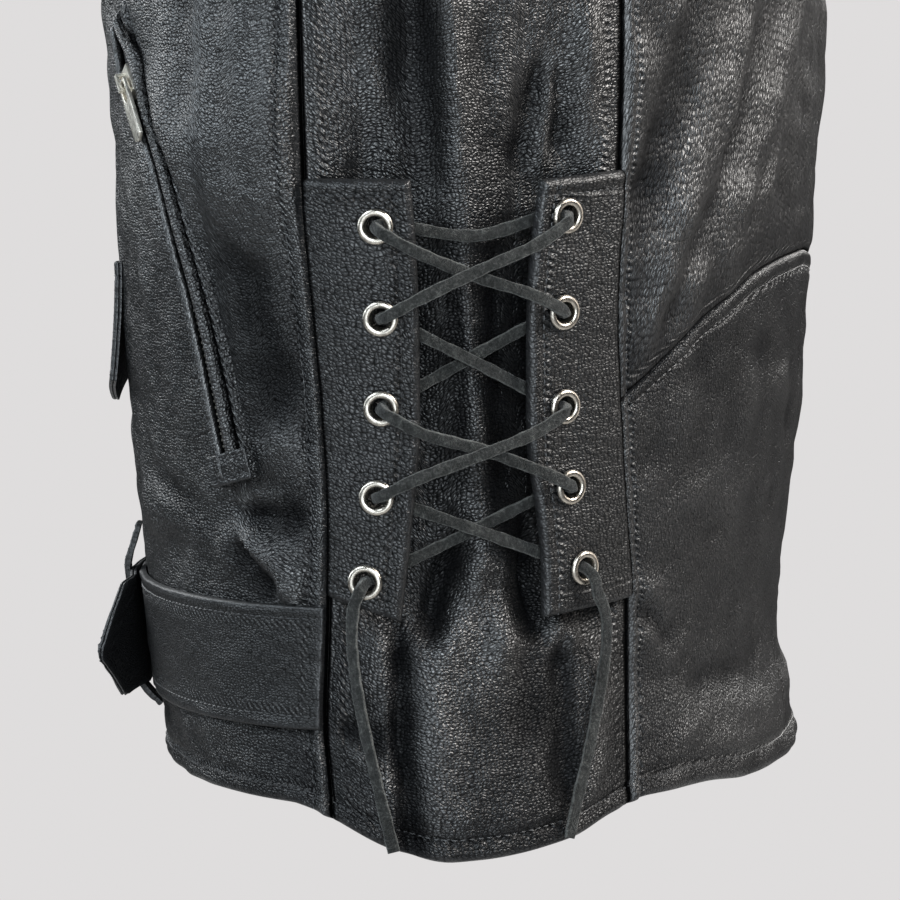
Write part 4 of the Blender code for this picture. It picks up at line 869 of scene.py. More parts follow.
class Field:
    """Output of a new shader node; sums and products of fields add further nodes."""

    def __init__(self, tree, kind, output=0, inputs=(), **settings):
        made = tree.nodes.new("ShaderNode" + kind)
        for key, value in settings.items():
            setattr(made, key, value)
        feed(made, dict(inputs))
        self.tree = tree
        self.socket = made.outputs[output]

    def math(self, other, operation):
        return Field(self.tree, "Math", 0, {0: self, 1: other}, operation=operation)

    def __add__(self, other):
        return self.math(other, "ADD")

    def __sub__(self, other):
        return self.math(other, "SUBTRACT")

    def __mul__(self, other):
        return self.math(other, "MULTIPLY")

    def step(self, low, high, start=0.0, end=1.0):
        """Smooth step from low to high, as start to end."""
        inputs = {"Value": self, "From Min": low, "From Max": high, "To Min": start, "To Max": end}
        return Field(self.tree, "MapRange", 0, inputs, interpolation_type="SMOOTHSTEP")

    def shades(self, *stops):
        """Colours at stops of (place, colour)."""
        made = Field(self.tree, "ValToRGB", "Color", {"Fac": self})
        elements = made.socket.node.color_ramp.elements
        while len(elements) < len(stops):
            elements.new(0.5)
        for element, (place, colour) in zip(elements, stops):
            element.position = place
            element.color = (*colour, 1.0)
        return made


def noise(place, scale, detail, roughness=0.5, dimensions="3D", output=0):
    inputs = {"Vector": place, "Scale": scale, "Detail": detail, "Roughness": roughness}
    return Field(place.tree, "TexNoise", output, inputs, noise_dimensions=dimensions)


def mark(tree, name):
    """Number stored at a mesh's points."""
    return Field(tree, "Attribute", "Fac", attribute_name=name)


def new_look(name):
    """New material with its node tree and the place on the object."""
    material = bpy.data.materials.new(name)
    material.use_nodes = True
    tree = material.node_tree
    return material, tree, Field(tree, "TexCoord", "Object")


def finish(material, colour, rough, relief, strength, depth, **others):
    """Feed a material's shader; other sockets are named with underscores for spaces."""
    tree = material.node_tree
    rise = Field(tree, "Bump", 0, {"Height": relief, "Strength": strength, "Distance": depth})
    inputs = {"Base Color": colour, "Roughness": rough, "Normal": rise}
    inputs.update((key.replace("_", " "), value) for key, value in others.items())
    feed(tree.nodes["Principled BSDF"], inputs)
    return material


STITCH_PITCH = 0.0033
STITCH_LONG = 0.0026
STITCH_RADIUS = 0.00034
STITCH_LIFTS = (-0.0004, 0.00022, -0.0004)
GRAIN_CELL = 0.00115
# Leather colours by tone: darkest in the grooves between pebbles and under the shadow mark (painted shade),
# lighter on pebble tops, worn edges and random patches.
GRAIN_SHADES = (
    (0.15, (0.0010, 0.0010, 0.0011)), (0.60, (0.0045, 0.0046, 0.0050)), (1.00, (0.0130, 0.0133, 0.0142))
)


def leather(name, cell=GRAIN_CELL, wide=1.45, slant=0.0, shade=1.0, gloss=0.36, depth=0.00030):
    """Black pebbled leather: pebbles with grooves darkened by painted shade in colour and specular, pores,
    wrinkles, puckers at stitching, worn edges, painted shade from the shadow mark, and painted sheen and
    shade from a mark that scales the specular level.
    """
    material, tree, place = new_look(name)
    flat = Field(tree, "CombineXYZ", 0, {0: mark(tree, "across"), 1: mark(tree, "up")})
    drift = noise(flat, 0.35 / cell, 1.0, dimensions="2D", output="Color")
    drift = Field(tree, "VectorMath", 0, {0: drift, 1: (0.5, 0.5, 0.5)}, operation="SUBTRACT")
    drift = Field(tree, "VectorMath", 0, {0: drift, "Scale": 1.1 * cell}, operation="SCALE")
    bent = Field(tree, "VectorMath", 0, {0: flat, 1: drift}, operation="ADD")
    bent = {"Vector": bent, "Rotation": (0, 0, slant), "Scale": (wide, 1, 1)}
    bent = Field(tree, "Mapping", 0, bent, vector_type="TEXTURE")
    cells = {"Vector": bent, "Scale": 1 / cell, "Randomness": 0.80}
    gap, far = [
        Field(tree, "TexVoronoi", "Distance", cells, feature=feature, voronoi_dimensions="2D")
        for feature in ("DISTANCE_TO_EDGE", "F1")
    ]
    dome = far * far * -1.5 + 1.0
    pebble = gap.step(0.0, 0.40) * 0.4 + dome * 0.6
    pores = noise(bent, 1.6 / cell, 1.0, dimensions="2D")
    wrinkle = noise(bent, 0.30 / cell, 1.0, dimensions="2D")
    patch = noise(place, 38.0, 3.0)
    edge, shadow, painted_sheen_and_shade = [mark(tree, key) for key in ("edge", "shadow", "painted_sheen_and_shade")]
    worn = edge.step(0.0006, 0.0030, 1.0, 0.0)
    grain = (pebble + pores * 0.7) * worn.step(0.0, 1.0, 1.0, 0.4)
    sewn = edge.step(0.0046, 0.0066) * edge.step(0.0070, 0.0094, 1.0, 0.0)
    run = Field(tree, "VectorMath", "Value", {0: place, 1: (0.8, 1.0, 1.0)}, operation="DOT_PRODUCT")
    pucker = (run * (2 * math.pi / STITCH_PITCH)).math(0.0, "SINE")
    height = grain + wrinkle * 2.2 + pucker * sewn * 1.1
    # Painted shade: colour and specular level drop in the grooves between pebbles and under the shadow mark;
    # the sheen mark beside it raises specular for painted sheen and lowers it for painted shade.
    tone = pebble * 0.6 + patch * 0.5 + worn * 0.25 - shadow
    colour = tone.shades(*[(place, np.array(colour) * shade) for place, colour in GRAIN_SHADES])
    rough = (pebble + patch).step(0.3, 1.5, gloss + 0.16, gloss - 0.06)
    shine = (pebble + worn * 0.4).step(0.0, 1.0, 0.16, 0.56)
    shine = shine * shadow.step(0.0, 1.0, 1.0, 0.03) * painted_sheen_and_shade.step(-1.0, 1.0, 0.2, 1.9)
    return finish(material, colour, rough, height, 1.0, depth, Specular_IOR_Level=shine)


def suede_lace():
    """Grey-green suede: matte fibres with a lighter cut edge."""
    material, tree, place = new_look("suede_lace")
    nap = noise(place, 1100.0, 4.0, 0.75)
    blotch = noise(place, 330.0, 3.0)
    tone = nap * 0.75 + blotch * 0.45 + mark(tree, "edge") * 0.20
    colour = tone.shades(
        (0.42, (0.004, 0.0042, 0.0040)), (0.62, (0.020, 0.0208, 0.0196)), (0.95, (0.110, 0.112, 0.105))
    )
    return finish(
        material, colour, nap.step(0.2, 0.8, 0.95, 0.8), nap + blotch * 1.5, 1.0, 0.0007,
        Specular_IOR_Level=0.2, Sheen_Weight=0.12, Sheen_Roughness=0.5,
    )


def metal(name, tint, gloss, scratch):
    """Plated metal with fine scratches and dull, darker patches."""
    material, tree, place = new_look(name)
    patch = noise(place, 320.0, 4.0)
    fine = noise(Field(tree, "Mapping", 0, {"Vector": place, "Scale": (1, 1, 9)}), 1400.0, 2.0)
    tint = np.array(tint)
    colour = patch.shades((0.30, 0.45 * tint), (0.52, tint), (0.85, np.minimum(1.12 * tint, 1)))
    rough = patch.step(0.3, 0.7, gloss + 0.16, gloss)
    return finish(material, colour, rough, fine, scratch, 0.0001, Metallic=1.0)


def waxed_thread():
    """Waxed black thread with its twist."""
    material, _, place = new_look("thread")
    twist = noise(place, 2600.0, 2.0)
    colour = twist.shades((0.3, (0.014, 0.014, 0.015)), (0.7, (0.052, 0.053, 0.055)))
    return finish(material, colour, twist.step(0.3, 0.7, 0.6, 0.4), twist, 0.6, 0.0001)


def flesh_side():
    """Inside of the leather: short dark fibres."""
    material, _, place = new_look("flesh_side")
    nap = noise(place, 900.0, 4.0, 0.7)
    tone = nap * 0.5 + noise(place, 45.0, 3.0) * 0.5
    colour = tone.shades((0.3, (0.010, 0.010, 0.010)), (0.7, (0.036, 0.034, 0.032)))
    return finish(material, colour, nap.step(0.2, 0.8, 0.95, 0.8), nap, 0.7, 0.0003)


def zip_tape():
    """Woven black tape under the zip's teeth."""
    material, tree, place = new_look("zip_tape")
    inputs = {"Vector": place, "Scale": 260.0, "Distortion": 1.5, "Detail": 2.0}
    weave = Field(tree, "TexWave", "Fac", inputs, bands_direction="Z")
    colour = weave.shades((0.2, (0.006, 0.006, 0.007)), (0.8, (0.020, 0.020, 0.022)))
    return finish(material, colour, weave.step(0.2, 0.8, 0.9, 0.75), weave, 0.6, 0.0003)


FRONT_LEATHER = leather("front_leather", wide=1.4)
SIDE_LEATHER = leather("side_leather", wide=1.5, gloss=0.35)
BACK_LEATHER = leather("back_leather", wide=2.5, slant=math.radians(72), shade=1.6, gloss=0.38)
LOWER_LEATHER = leather(
    "lower_leather", wide=1.3, slant=math.radians(70), shade=1.6, gloss=0.39, depth=0.00032
)
ARM_LEATHER = leather("arm_leather", wide=1.3)
FLAP_LEATHER = leather("flap_leather", cell=0.0013, wide=1.3, gloss=0.40)
BELT_LEATHER = leather("belt_leather", cell=0.0010, shade=0.8, gloss=0.46, depth=0.00020)
SUEDE = suede_lace()
NICKEL = metal("nickel_plate", (0.62, 0.57, 0.50), 0.20, 0.25)
ZIP_METAL = metal("zip_plate", (0.78, 0.74, 0.66), 0.36, 0.4)
THREAD = waxed_thread()
FLESH = flesh_side()
TAPE = zip_tape()


def dress(made, nodes=(), body="root"):
    """Let a piece ride on a body and stand for CAD nodes, which are hidden."""
    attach(made, body)
    if nodes:
        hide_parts(*nodes)


def cloth_sheet(plain):
    """Work out the flat width, length and cell diagonals of a piece's plain grid, before it was folded;
    nothing is kept or returned.
    """
    across, _, up, _ = grid_distances(plain)
    width, length = float(across.max()), float(up.max())
    a = plain[1:, 1:] - plain[:-1, :-1]
    b = plain[1:, :-1] - plain[:-1, 1:]
    width, length = round(width, 4), round(length, 4)


# Stitches: short threads that dip into the leather at both ends


def stitch_parts(line, normals):
    """Points and faces of a row of stitches along a line on the leather."""
    run = lengths(line)
    middles = np.arange(STITCH_PITCH / 2, run[-1], STITCH_PITCH)
    stations = middles[:, None] + STITCH_LONG * np.array((-0.5, 0.0, 0.5))
    places = sampled(line, stations, run)
    up = unit(sampled(normals, stations, run))
    side = unit(np.cross(unit(places[:, 2:] - places[:, :1]), up))
    centre = places + np.array(STITCH_LIFTS)[None, :, None] * up
    points = np.stack([centre + STITCH_RADIUS * r for r in (side, up, -side, -up)], axis=2)
    shape = [face[::-1] for face in ring_faces(3, 4)]
    faces = [tuple(12 * i + k for k in face) for i in range(len(middles)) for face in shape]
    return points.reshape(-1, 3), faces


def seams(outer, rows=(), columns=(), back=False):
    """Lines of (points, normals) along rows and columns of a grid; back starts the columns at their ends."""
    normals = grid_normals(outer)
    way = -1 if back else 1
    return [(outer[r], normals[r]) for r in rows] + [(outer[::way, c], normals[::way, c]) for c in columns]


def sew(name, lines, mirror=False):
    """Stitching along lines of (points, normals), as one piece."""
    points, faces = joined([stitch_parts(*line) for line in lines])
    dress(add_object(name, points, faces, THREAD, mirror))


# Body panels

FINE_STEPS = np.array((0, 0.4, 0.8, 1.3, 1.8, 2.4, 3.1, 4.0, 5.0, 6.0, 6.6, 7.2, 7.8, 8.6, 10.0)) / 1000
STITCH_COLUMN = 11
ROLL_WIDTH = 0.0017
ROLL_DEPTH = 0.0017
# Crease rise at which the painted sheen on crease tops is full
SHEEN_CREASE_RISE = 0.0028
SEAM_CALM = 0.007
POCKET_RANGE = (0.112, 0.130, 0.294, 0.310)

# Shifts of the creases on the right half, so that it isn't the left one's mirror image

FRONT_DRIFT = 0.012
SIDE_DRIFT = 0.006
BACK_DRIFT = 0.010
SLEEVE_DRIFT = 0.014


def across_steps(width, middle_count, both=True):
    """Distances across each row: close together along the edges, even between them."""
    width = np.asarray(width, float)[:, None]
    fine = FINE_STEPS[None, :] * np.minimum(1.0, width / (2.4 * FINE_STEPS[-1]))
    last = fine[:, -1:]
    span = width - (2 if both else 1) * last
    count = middle_count + 1
    share = np.arange(1, count + (0 if both else 1)) / count
    parts = [fine, last + span * share]
    if both:
        parts.append(width - fine[:, ::-1])
    return np.hstack(parts)


def level_steps(low, high, step):
    """Heights of rows, close together at both ends."""
    start = low + FINE_STEPS
    end = high - FINE_STEPS[::-1]
    count = max(int((end[0] - start[-1]) / step), 2)
    return np.concatenate((start, np.linspace(start[-1], end[0], count + 1)[1:-1], end))


def seam_relief(distance, ridge, ridge_at=0.0027, ridge_half=0.0016, dip=0.0009, stitch_at=0.0072):
    """Rolled edge, the turned-in seam's ridge behind it and the dip along its stitching."""
    roll = -ROLL_DEPTH * rounded(distance, ROLL_WIDTH)
    return roll + ridge * bump(ridge_at, ridge_half, distance) - dip * bump(stitch_at, 0.0012, distance)


def lowest(values, reach=3):
    """Lowest value round each place of a grid, for a coarse inner face that stays under the outer one."""
    for axis in (0, 1):
        wide = np.pad(values, [(reach, reach) if k == axis else (0, 0) for k in (0, 1)], mode="edge")
        picks = np.arange(values.shape[axis])
        values = np.min([np.take(wide, picks + k, axis) for k in range(2 * reach + 1)], axis=0)
    return values


def painted_height_sheen(height):
    """Painted sheen and shade: specular raised toward the chest and lowered at the waist seam and the hem."""
    dull = 0.25 * (1 - ramp(0.02, 0.07, height)) + 0.30 * bump(0.18, 0.035, height)
    return 0.45 * ramp(0.20, 0.27, height) - dull


def body_panel(
    name, height, arc, big, small, edges, shadow, loose, welt, material, rows, columns, mirror=False
):
    """Panel of the body at a grid of places: folds, then seams and stitching. Crease tops get painted sheen
    and troughs painted shade, through the specular level.
    """
    points, normals = on_body(height, arc, hem=True)
    outer = points + (big + small)[..., None] * normals
    inner = points + (lowest(big) - LEATHER)[..., None] * normals
    # Painted sheen and shade in the specular level: up on crease tops, the chest and the seam's welt, down in
    # troughs, at the waist seam and at the hem.
    painted_sheen_and_shade = np.tanh(loose / SHEEN_CREASE_RISE) + painted_height_sheen(height) + welt
    marks = {"edge": np.min(edges, axis=0), "shadow": shadow, "painted_sheen_and_shade": painted_sheen_and_shade}
    made = shell(f"{name}_leather", outer, inner, material, mirror=mirror, lining=FLESH, marks=marks)
    dress(made, [name])
    cloth_sheet(points)
    sew(f"stitching_{name}", seams(outer, rows, columns), mirror)


def zip_x(height):
    return ZIP_FOOT_X + ZIP_LEAN * height / ZIP_TOP


def front_inner_x(height, left):
    """Inner edge of a front: along the zip, then the open neckline. The right one is seen mirrored."""
    along = ZIP_HALF + SEAM_GAP + (1 if left else -1) * zip_x(np.minimum(height, ZIP_TOP))
    t = np.clip((height - ZIP_TOP) / (NECK_HEIGHT - ZIP_TOP), 0, 1)
    return along + (NECK_HALF - along) * t


def hem_distance(height, near):
    return height + hem_shift(height, near) - hem_shift(np.zeros_like(height), near)


def calm(height, near):
    """Share of the creases left on a front: little under its pocket zip and its belt."""
    beside = ramp(0.008, 0.017, np.abs(near - curve(POCKET_LINE, "arc", height)))
    level = window(*POCKET_RANGE, height)
    belt = window(BELT_LOW - 0.012, BELT_LOW, BELT_HIGH - 0.004, BELT_HIGH + 0.004, height)
    return (1 - 0.85 * level * (1 - beside)) * (1 - 0.8 * belt)


BEHIND = LEATHER + 0.0003
STRIP = np.linspace(-0.004, 0.004, 5)
STRIP_THICK = 0.0006


def allowance(name, level, normals, mirror):
    """Thin turned-in strip of leather behind a seam, whose outer face lies at a grid."""
    dress(shell(name, level, level - STRIP_THICK * normals, FLESH, step=1, mirror=mirror))


def add_backing(name, word, side, low, high):
    """Allowance behind a seam that runs up the body."""
    rows = np.linspace(low, high, max(int((high - low) / 0.0026), 8))
    near = edge_arc(rows, word)[:, None] + STRIP
    height = rows[:, None] + np.zeros_like(near)
    points, normals = on_body(height, side_line(height) + near, hem=True)
    level = points + (fold_rise(height, near) - BEHIND)[..., None] * normals
    allowance(f"allowance_{name}_{side}", level, normals, side == "right")


def add_front(side):
    left = side == "left"
    rows = level_steps(0.0, NECK_HEIGHT, 0.0025)
    inner_arc = arc_at_x(rows, front_inner_x(rows, left))
    width = side_line(rows) + edge_arc(rows, "front") - SEAM_GAP / 2 - inner_arc
    to_zip = across_steps(width, 104)
    to_seam = width[:, None] - to_zip
    height = rows[:, None] + np.zeros_like(to_zip)
    arc = inner_arc[:, None] + to_zip
    near = side_arc(height, arc)
    to_hem = hem_distance(height, near)
    to_neck = NECK_HEIGHT - height
    loose = crease_rise(height + (0.0 if left else FRONT_DRIFT), near, FRONT_CREASES)
    loose = loose + waves(height, near, 11 if left else 12, 0.00045)
    big = fold_rise(height, near) + loose * calm(height, near) * ramp(0.0, SEAM_CALM, to_seam)
    small = seam_relief(to_seam, 0.0015) + seam_relief(to_zip, 0.0004) + seam_relief(to_hem, 0.0003)
    small += seam_relief(to_neck, 0.0)
    # Painted shade in the side seam's gap, and a painted highlight on the welt beside it.
    body_panel(
        f"front_{side}", height, arc, big, small, (to_seam, to_zip, to_hem, to_neck),
        1 - ramp(0.0002, 0.0010, to_seam), loose, 0.8 * bump(0.0028, 0.0018, to_seam), FRONT_LEATHER,
        rows=(STITCH_COLUMN,), columns=(STITCH_COLUMN, -1 - STITCH_COLUMN), mirror=not left,
    )


def add_side(side):
    left = side == "left"
    rows = level_steps(0.0, ARMPIT, 0.0021)
    front = edge_arc(rows, "front") + SEAM_GAP / 2
    width = edge_arc(rows, "rear") - SEAM_GAP / 2 - front
    to_front = across_steps(width, 62)
    to_rear = width[:, None] - to_front
    height = rows[:, None] + np.zeros_like(to_front)
    near = front[:, None] + to_front
    to_hem = hem_distance(height, near)
    loose = crease_rise(height + (0.0 if left else SIDE_DRIFT), near, SIDE_CREASES)
    loose = loose + waves(height, near, 21 if left else 22, 0.00035)
    big = fold_rise(height, near) + side_rise(height, to_front / width[:, None])
    big += loose * ramp(0.0, SEAM_CALM, to_front) * ramp(0.0, SEAM_CALM, to_rear)
    small = seam_relief(to_front, -0.0004, dip=0) + seam_relief(to_rear, -0.0004, dip=0)
    small += seam_relief(to_hem, 0.0004) + seam_relief(ARMPIT - height, 0.0, dip=0)
    # Painted shade in the gaps at both seams.
    body_panel(
        f"side_{side}", height, side_line(height) + near, big, small, (to_front, to_rear, to_hem),
        1 - ramp(0.0008, 0.0022, to_front) * ramp(0.0012, 0.0030, to_rear), loose, 0.0, SIDE_LEATHER,
        rows=(STITCH_COLUMN,), columns=(), mirror=not left,
    )


BACK_COLUMNS = 74


def back_grid(rows, base, top):
    """Places of both halves of the back that follow the waist seam at its base and turn level at its top."""
    rows = rows[:, None]
    width = ring_length(rows) - (side_line(rows) + edge_arc(rows, "rear") + SEAM_GAP / 2)
    steps = across_steps(width[:, 0], BACK_COLUMNS, both=False)
    t = steps / width
    share = 1 - np.clip((rows - base) / (top - base), 0.0, 1.0)
    height = rows + np.zeros_like(t)
    for _ in range(6):
        side = side_line(height)
        start = side + edge_arc(height, "rear") + SEAM_GAP / 2
        arc = start + t * (ring_length(height) - start)
        climb = curve(WAIST_SEAM, "height", arc - side) - curve(WAIST_SEAM, "height", start - side)
        height = rows + climb * share
    whole_height = np.hstack((height, height[:, -2::-1]))
    whole_arc = np.hstack((arc, (2 * ring_length(height) - arc)[:, -2::-1]))
    seam = np.hstack((steps, steps[:, -2::-1]))
    right = np.arange(whole_arc.shape[1]) >= steps.shape[1]
    return whole_height, whole_arc, seam, right[None, :]


def add_neck_backing():
    """Allowance behind the collar's seam, from one front edge round the back to the other."""
    full = ring_length(NECK_HEIGHT)
    half = np.linspace(arc_at_x(NECK_HEIGHT, NECK_HALF) + 0.002, full, 60)
    arc = np.concatenate((half, 2 * full - half[-2::-1]))
    points, normals = on_body(np.array((-0.006, -0.003, -0.0005))[:, None] + NECK_HEIGHT, arc)
    level = points - BEHIND * normals
    level = np.vstack((level, level[-1:] + (0.0, 0.0, 0.004)))
    allowance("allowance_neck", level, np.vstack((normals, normals[-1:])), False)


def add_back(part):
    upper = part == "upper"
    base = WAIST + (SEAM_GAP / 2 if upper else -SEAM_GAP / 2)
    rows = level_steps(base, NECK_HEIGHT, 0.0034) if upper else level_steps(0.0, base, 0.0024)
    height, arc, seam, right = back_grid(rows, base, ZIP_TOP if upper else 0.0)
    near = side_arc(height, arc)
    level = rows[:, None] + np.zeros_like(seam)
    to_waist = np.abs(level - base)
    to_end = NECK_HEIGHT - level if upper else hem_distance(level, near)
    loose = crease_rise(height + BACK_DRIFT * right, near, BACK_CREASES)
    loose = loose + waves(height, near + 0.5 * right, 31 if upper else 32, 0.0005)
    big = fold_rise(height, near) + loose * ramp(0.0, SEAM_CALM, seam) * ramp(0.0, 0.006, to_waist)
    small = seam_relief(seam, 0.0014, 0.0030, 0.0022, stitch_at=0.0066)
    # Painted shade in the seam's gap and, on the upper piece, along the waist seam; a painted highlight on
    # the welt beside the seam.
    open_to_light = ramp(0.0002, 0.0010, seam)
    if upper:
        small += seam_relief(to_waist, 0.0, dip=0) - 0.0007 * (1 - ramp(0.0, 0.008, to_waist))
        small += seam_relief(to_end, 0.0, dip=0)
        open_to_light = open_to_light * ramp(0.0008, 0.0020, to_waist)
    else:
        small += seam_relief(to_waist, 0.0004, 0.0022, 0.0030, 0.0008, 0.0050)
        small += seam_relief(to_end, 0.0003)
    body_panel(
        f"back_{part}", height, arc, big, small, (seam, to_waist + 0.0020, to_end), 1 - open_to_light,
        loose + fold_rise(height, near), 0.8 * bump(0.0030, 0.0020, seam),
        BACK_LEATHER if upper else LOWER_LEATHER,
        rows=() if upper else (STITCH_COLUMN, -9), columns=(STITCH_COLUMN - 1, -STITCH_COLUMN),
    )


# Sleeves

ARMHOLE_ROWS = PANEL_EDGES["height"][PANEL_EDGES["height"] >= ARMPIT]
UNDER_COUNT = 9
LOOP_STEPS = 24
SLEEVE_CALM = 0.02


def armhole_loop():
    """Armhole from the front of the armpit up to the shoulder tip, down the back and under the arm."""
    up = ARMHOLE_ROWS
    down = up[:-1][::-1]
    under = np.linspace(edge_arc(ARMPIT, "rear"), edge_arc(ARMPIT, "front"), UNDER_COUNT)[1:-1]
    heights = np.concatenate((up, down, np.full(len(under), ARMPIT)))
    nears = np.concatenate((edge_arc(up, "front"), edge_arc(down, "rear"), under))
    return on_body(heights, side_line(heights) + nears)[0]


def sleeve_grid(first, last, rows, middle_count):
    """Rings of the sleeve between two places of the armhole loop, distances across them and their middles."""
    coarse = armhole_loop()
    centre = coarse.mean(axis=0)
    level = math.cos(ARM_DROOP)
    away = np.array((level * math.cos(ARM_FORWARD), -level * math.sin(ARM_FORWARD), -math.sin(ARM_DROOP)))
    ahead = unit(away * away[1] - Y_AXIS)
    above = np.cross(away, ahead)
    above = above * np.sign(above[2])
    loop = through(coarse, LOOP_STEPS, closed=True)
    loop = np.vstack((loop, loop))[first * LOOP_STEPS:last * LOOP_STEPS + 1]
    turn = np.arctan2((loop - centre) @ above, (loop - centre) @ ahead)[:, None]
    rings = []
    for reach in rows:
        half_height, half_depth, forward = [curve(SLEEVE_ROWS, c, reach) for c in list(SLEEVE_ROWS)[1:]]
        middle = centre + away * reach + ahead * forward
        blend = ramp(0.0, 0.15, reach)
        ring = middle + ahead * (half_depth * np.cos(turn)) + above * (half_height * np.sin(turn))
        ring = (loop + away * (reach + 2 * SEAM_GAP)) * (1 - blend) + ring * blend
        steps = across_steps([lengths(ring)[-1] - SEAM_GAP], middle_count)[0]
        rings.append((sampled(ring, steps + SEAM_GAP / 2), steps, middle))
    return [np.array(part) for part in zip(*rings)]


def add_armhole_backing(side):
    """Allowance inside an armhole's seam: a short tube from the sleeve into the body."""
    loop = through(armhole_loop(), 8, closed=True)
    loop = np.vstack((loop, loop[:1]))
    ahead = unit(np.roll(loop[:-1], -1, axis=0) - np.roll(loop[:-1], 1, axis=0))
    ahead = np.vstack((ahead, ahead[:1]))
    away = np.array((math.cos(ARM_DROOP), 0.0, -math.sin(ARM_DROOP)))
    out = unit(np.cross(ahead, away))
    if (out * (loop - loop.mean(axis=0))).sum() < 0:
        out = -out
    rows = np.array((-0.0045, -0.002, 0.0005, 0.003, 0.006))[:, None, None]
    level = loop[None] - BEHIND * out[None] + rows * away
    normals = grid_normals(level)
    if (normals * out[None]).sum() < 0:
        level = level[:, ::-1]
        normals = grid_normals(level)
    allowance(f"allowance_armhole_{side}", level, normals, side == "right")
    near = np.linspace(edge_arc(ARMPIT, "front"), edge_arc(ARMPIT, "rear"), 30)[None, :]
    height = ARMPIT + STRIP[:, None] + np.zeros_like(near)
    points, normals = on_body(height, side_line(height) + near)
    allowance(f"allowance_underarm_{side}", points - BEHIND * normals, normals, side == "right")


def add_sleeve(part, side, first, last, seed):
    upper = part == "upper"
    mirror = side == "right"
    name = f"sleeve_{part}_{side}"
    rows = level_steps(0.0, SLEEVE_ROWS["reach"][-1], 0.0042)
    points, steps, middles = sleeve_grid(first, last, rows, 62 if upper else 34)
    normals = grid_normals(points)
    if ((points - middles[:, None]) * normals).sum() < 0:
        points, steps = points[:, ::-1], steps[:, -1:] - steps[:, ::-1]
        normals = grid_normals(points)
    reach = rows[:, None] + np.zeros_like(steps)
    width = steps[:, -1:]
    across = steps - width / 2
    to_cuff = rows[-1] - reach
    drift = SLEEVE_DRIFT if mirror else 0.0
    big = crease_rise(reach + drift, across * (1 if upper else 1.3), SLEEVE_CREASES)
    big = big + waves(reach, across, seed, 0.0006)
    big *= ramp(0.0, SLEEVE_CALM, steps) * ramp(0.0, SLEEVE_CALM, width - steps) * ramp(0.0, 0.03, reach)
    small = seam_relief(steps, 0.0006, dip=0.0005) + seam_relief(width - steps, 0.0006, dip=0.0005)
    small += seam_relief(reach, -0.0002, dip=0.0003) + seam_relief(to_cuff, 0.0004)
    outer = points + (big + small)[..., None] * normals
    inner = points + (lowest(big) - LEATHER)[..., None] * normals
    for word, column, step in (("front", 0, 1), ("rear", -1, -1)) if upper else ():
        aside = unit(points[:, column + step] - points[:, column])[:, None]
        up = normals[:, column][:, None] + np.zeros_like(STRIP)[:, None]
        level = points[:, column][:, None] + step * STRIP[:, None] * aside - BEHIND * up
        allowance(f"allowance_sleeve_{word}_{side}", level, up, mirror)
    edge = np.min((steps, width - steps, reach, to_cuff), axis=0)
    marks = {"edge": edge}
    made = shell(f"{name}_leather", outer, inner, ARM_LEATHER, mirror=mirror, marks=marks, lining=FLESH)
    dress(made, [name])
    cloth_sheet(points)
    columns = (STITCH_COLUMN, -1 - STITCH_COLUMN) if upper else ()
    sew(f"stitching_{name}", seams(outer, (-1 - STITCH_COLUMN,), columns), mirror)


# Lacing flaps and eyelets


def flap_point(height, near, word, depth):
    """Point of a flap that lifts toward its free edge: depth 0 is its inner face, 1 its outer face."""
    seam = edge_arc(height, word)
    share = np.clip((near - seam) / (curve(FLAP_ROWS, word, height) - seam), 0.0, 1.0)
    return skin(height, side_line(height) + near, FLAP_LIFT + FLAP_RISE * share + depth * FLAP_THICK)


def eyelet_place(key):
    """Height and arc of an eyelet."""
    return np.array([column[int(key[1]) - 1] for column in EYELETS[key[0]].values()])


def eyelet_frame(key):
    """Middle of the flap at an eyelet, with the flap's normal."""
    height, near = eyelet_place(key)
    up = np.array((0, 0, 0, 0.003, -0.003))
    along = np.array((0, 0.003, -0.003, 0, 0))
    p = flap_point(height + up, near + along, FLAP_WORDS[key[0]], 0.5)
    return p[0], unit(np.cross(p[1] - p[2], p[3] - p[4]))


EYELET_FRAMES = {key: eyelet_frame(key) for key in [f"{a}{n}" for a in FLAP_WORDS for n in range(1, 6)]}
DOME = [
    (0.00505 + 0.00135 * math.cos(a), 0.0018 + 0.0012 * math.sin(a)) for a in np.linspace(0, math.pi, 9)
]
EYELET_PROFILE = [(0.0037, -0.0018), (0.0044, -0.0018), (0.0044, 0.0016), *DOME]
PIN_HALF = 0.006
FLAP_ROUND = 0.0021
FLAP_FALL = 0.0023
EYELET_DENT = 0.0007


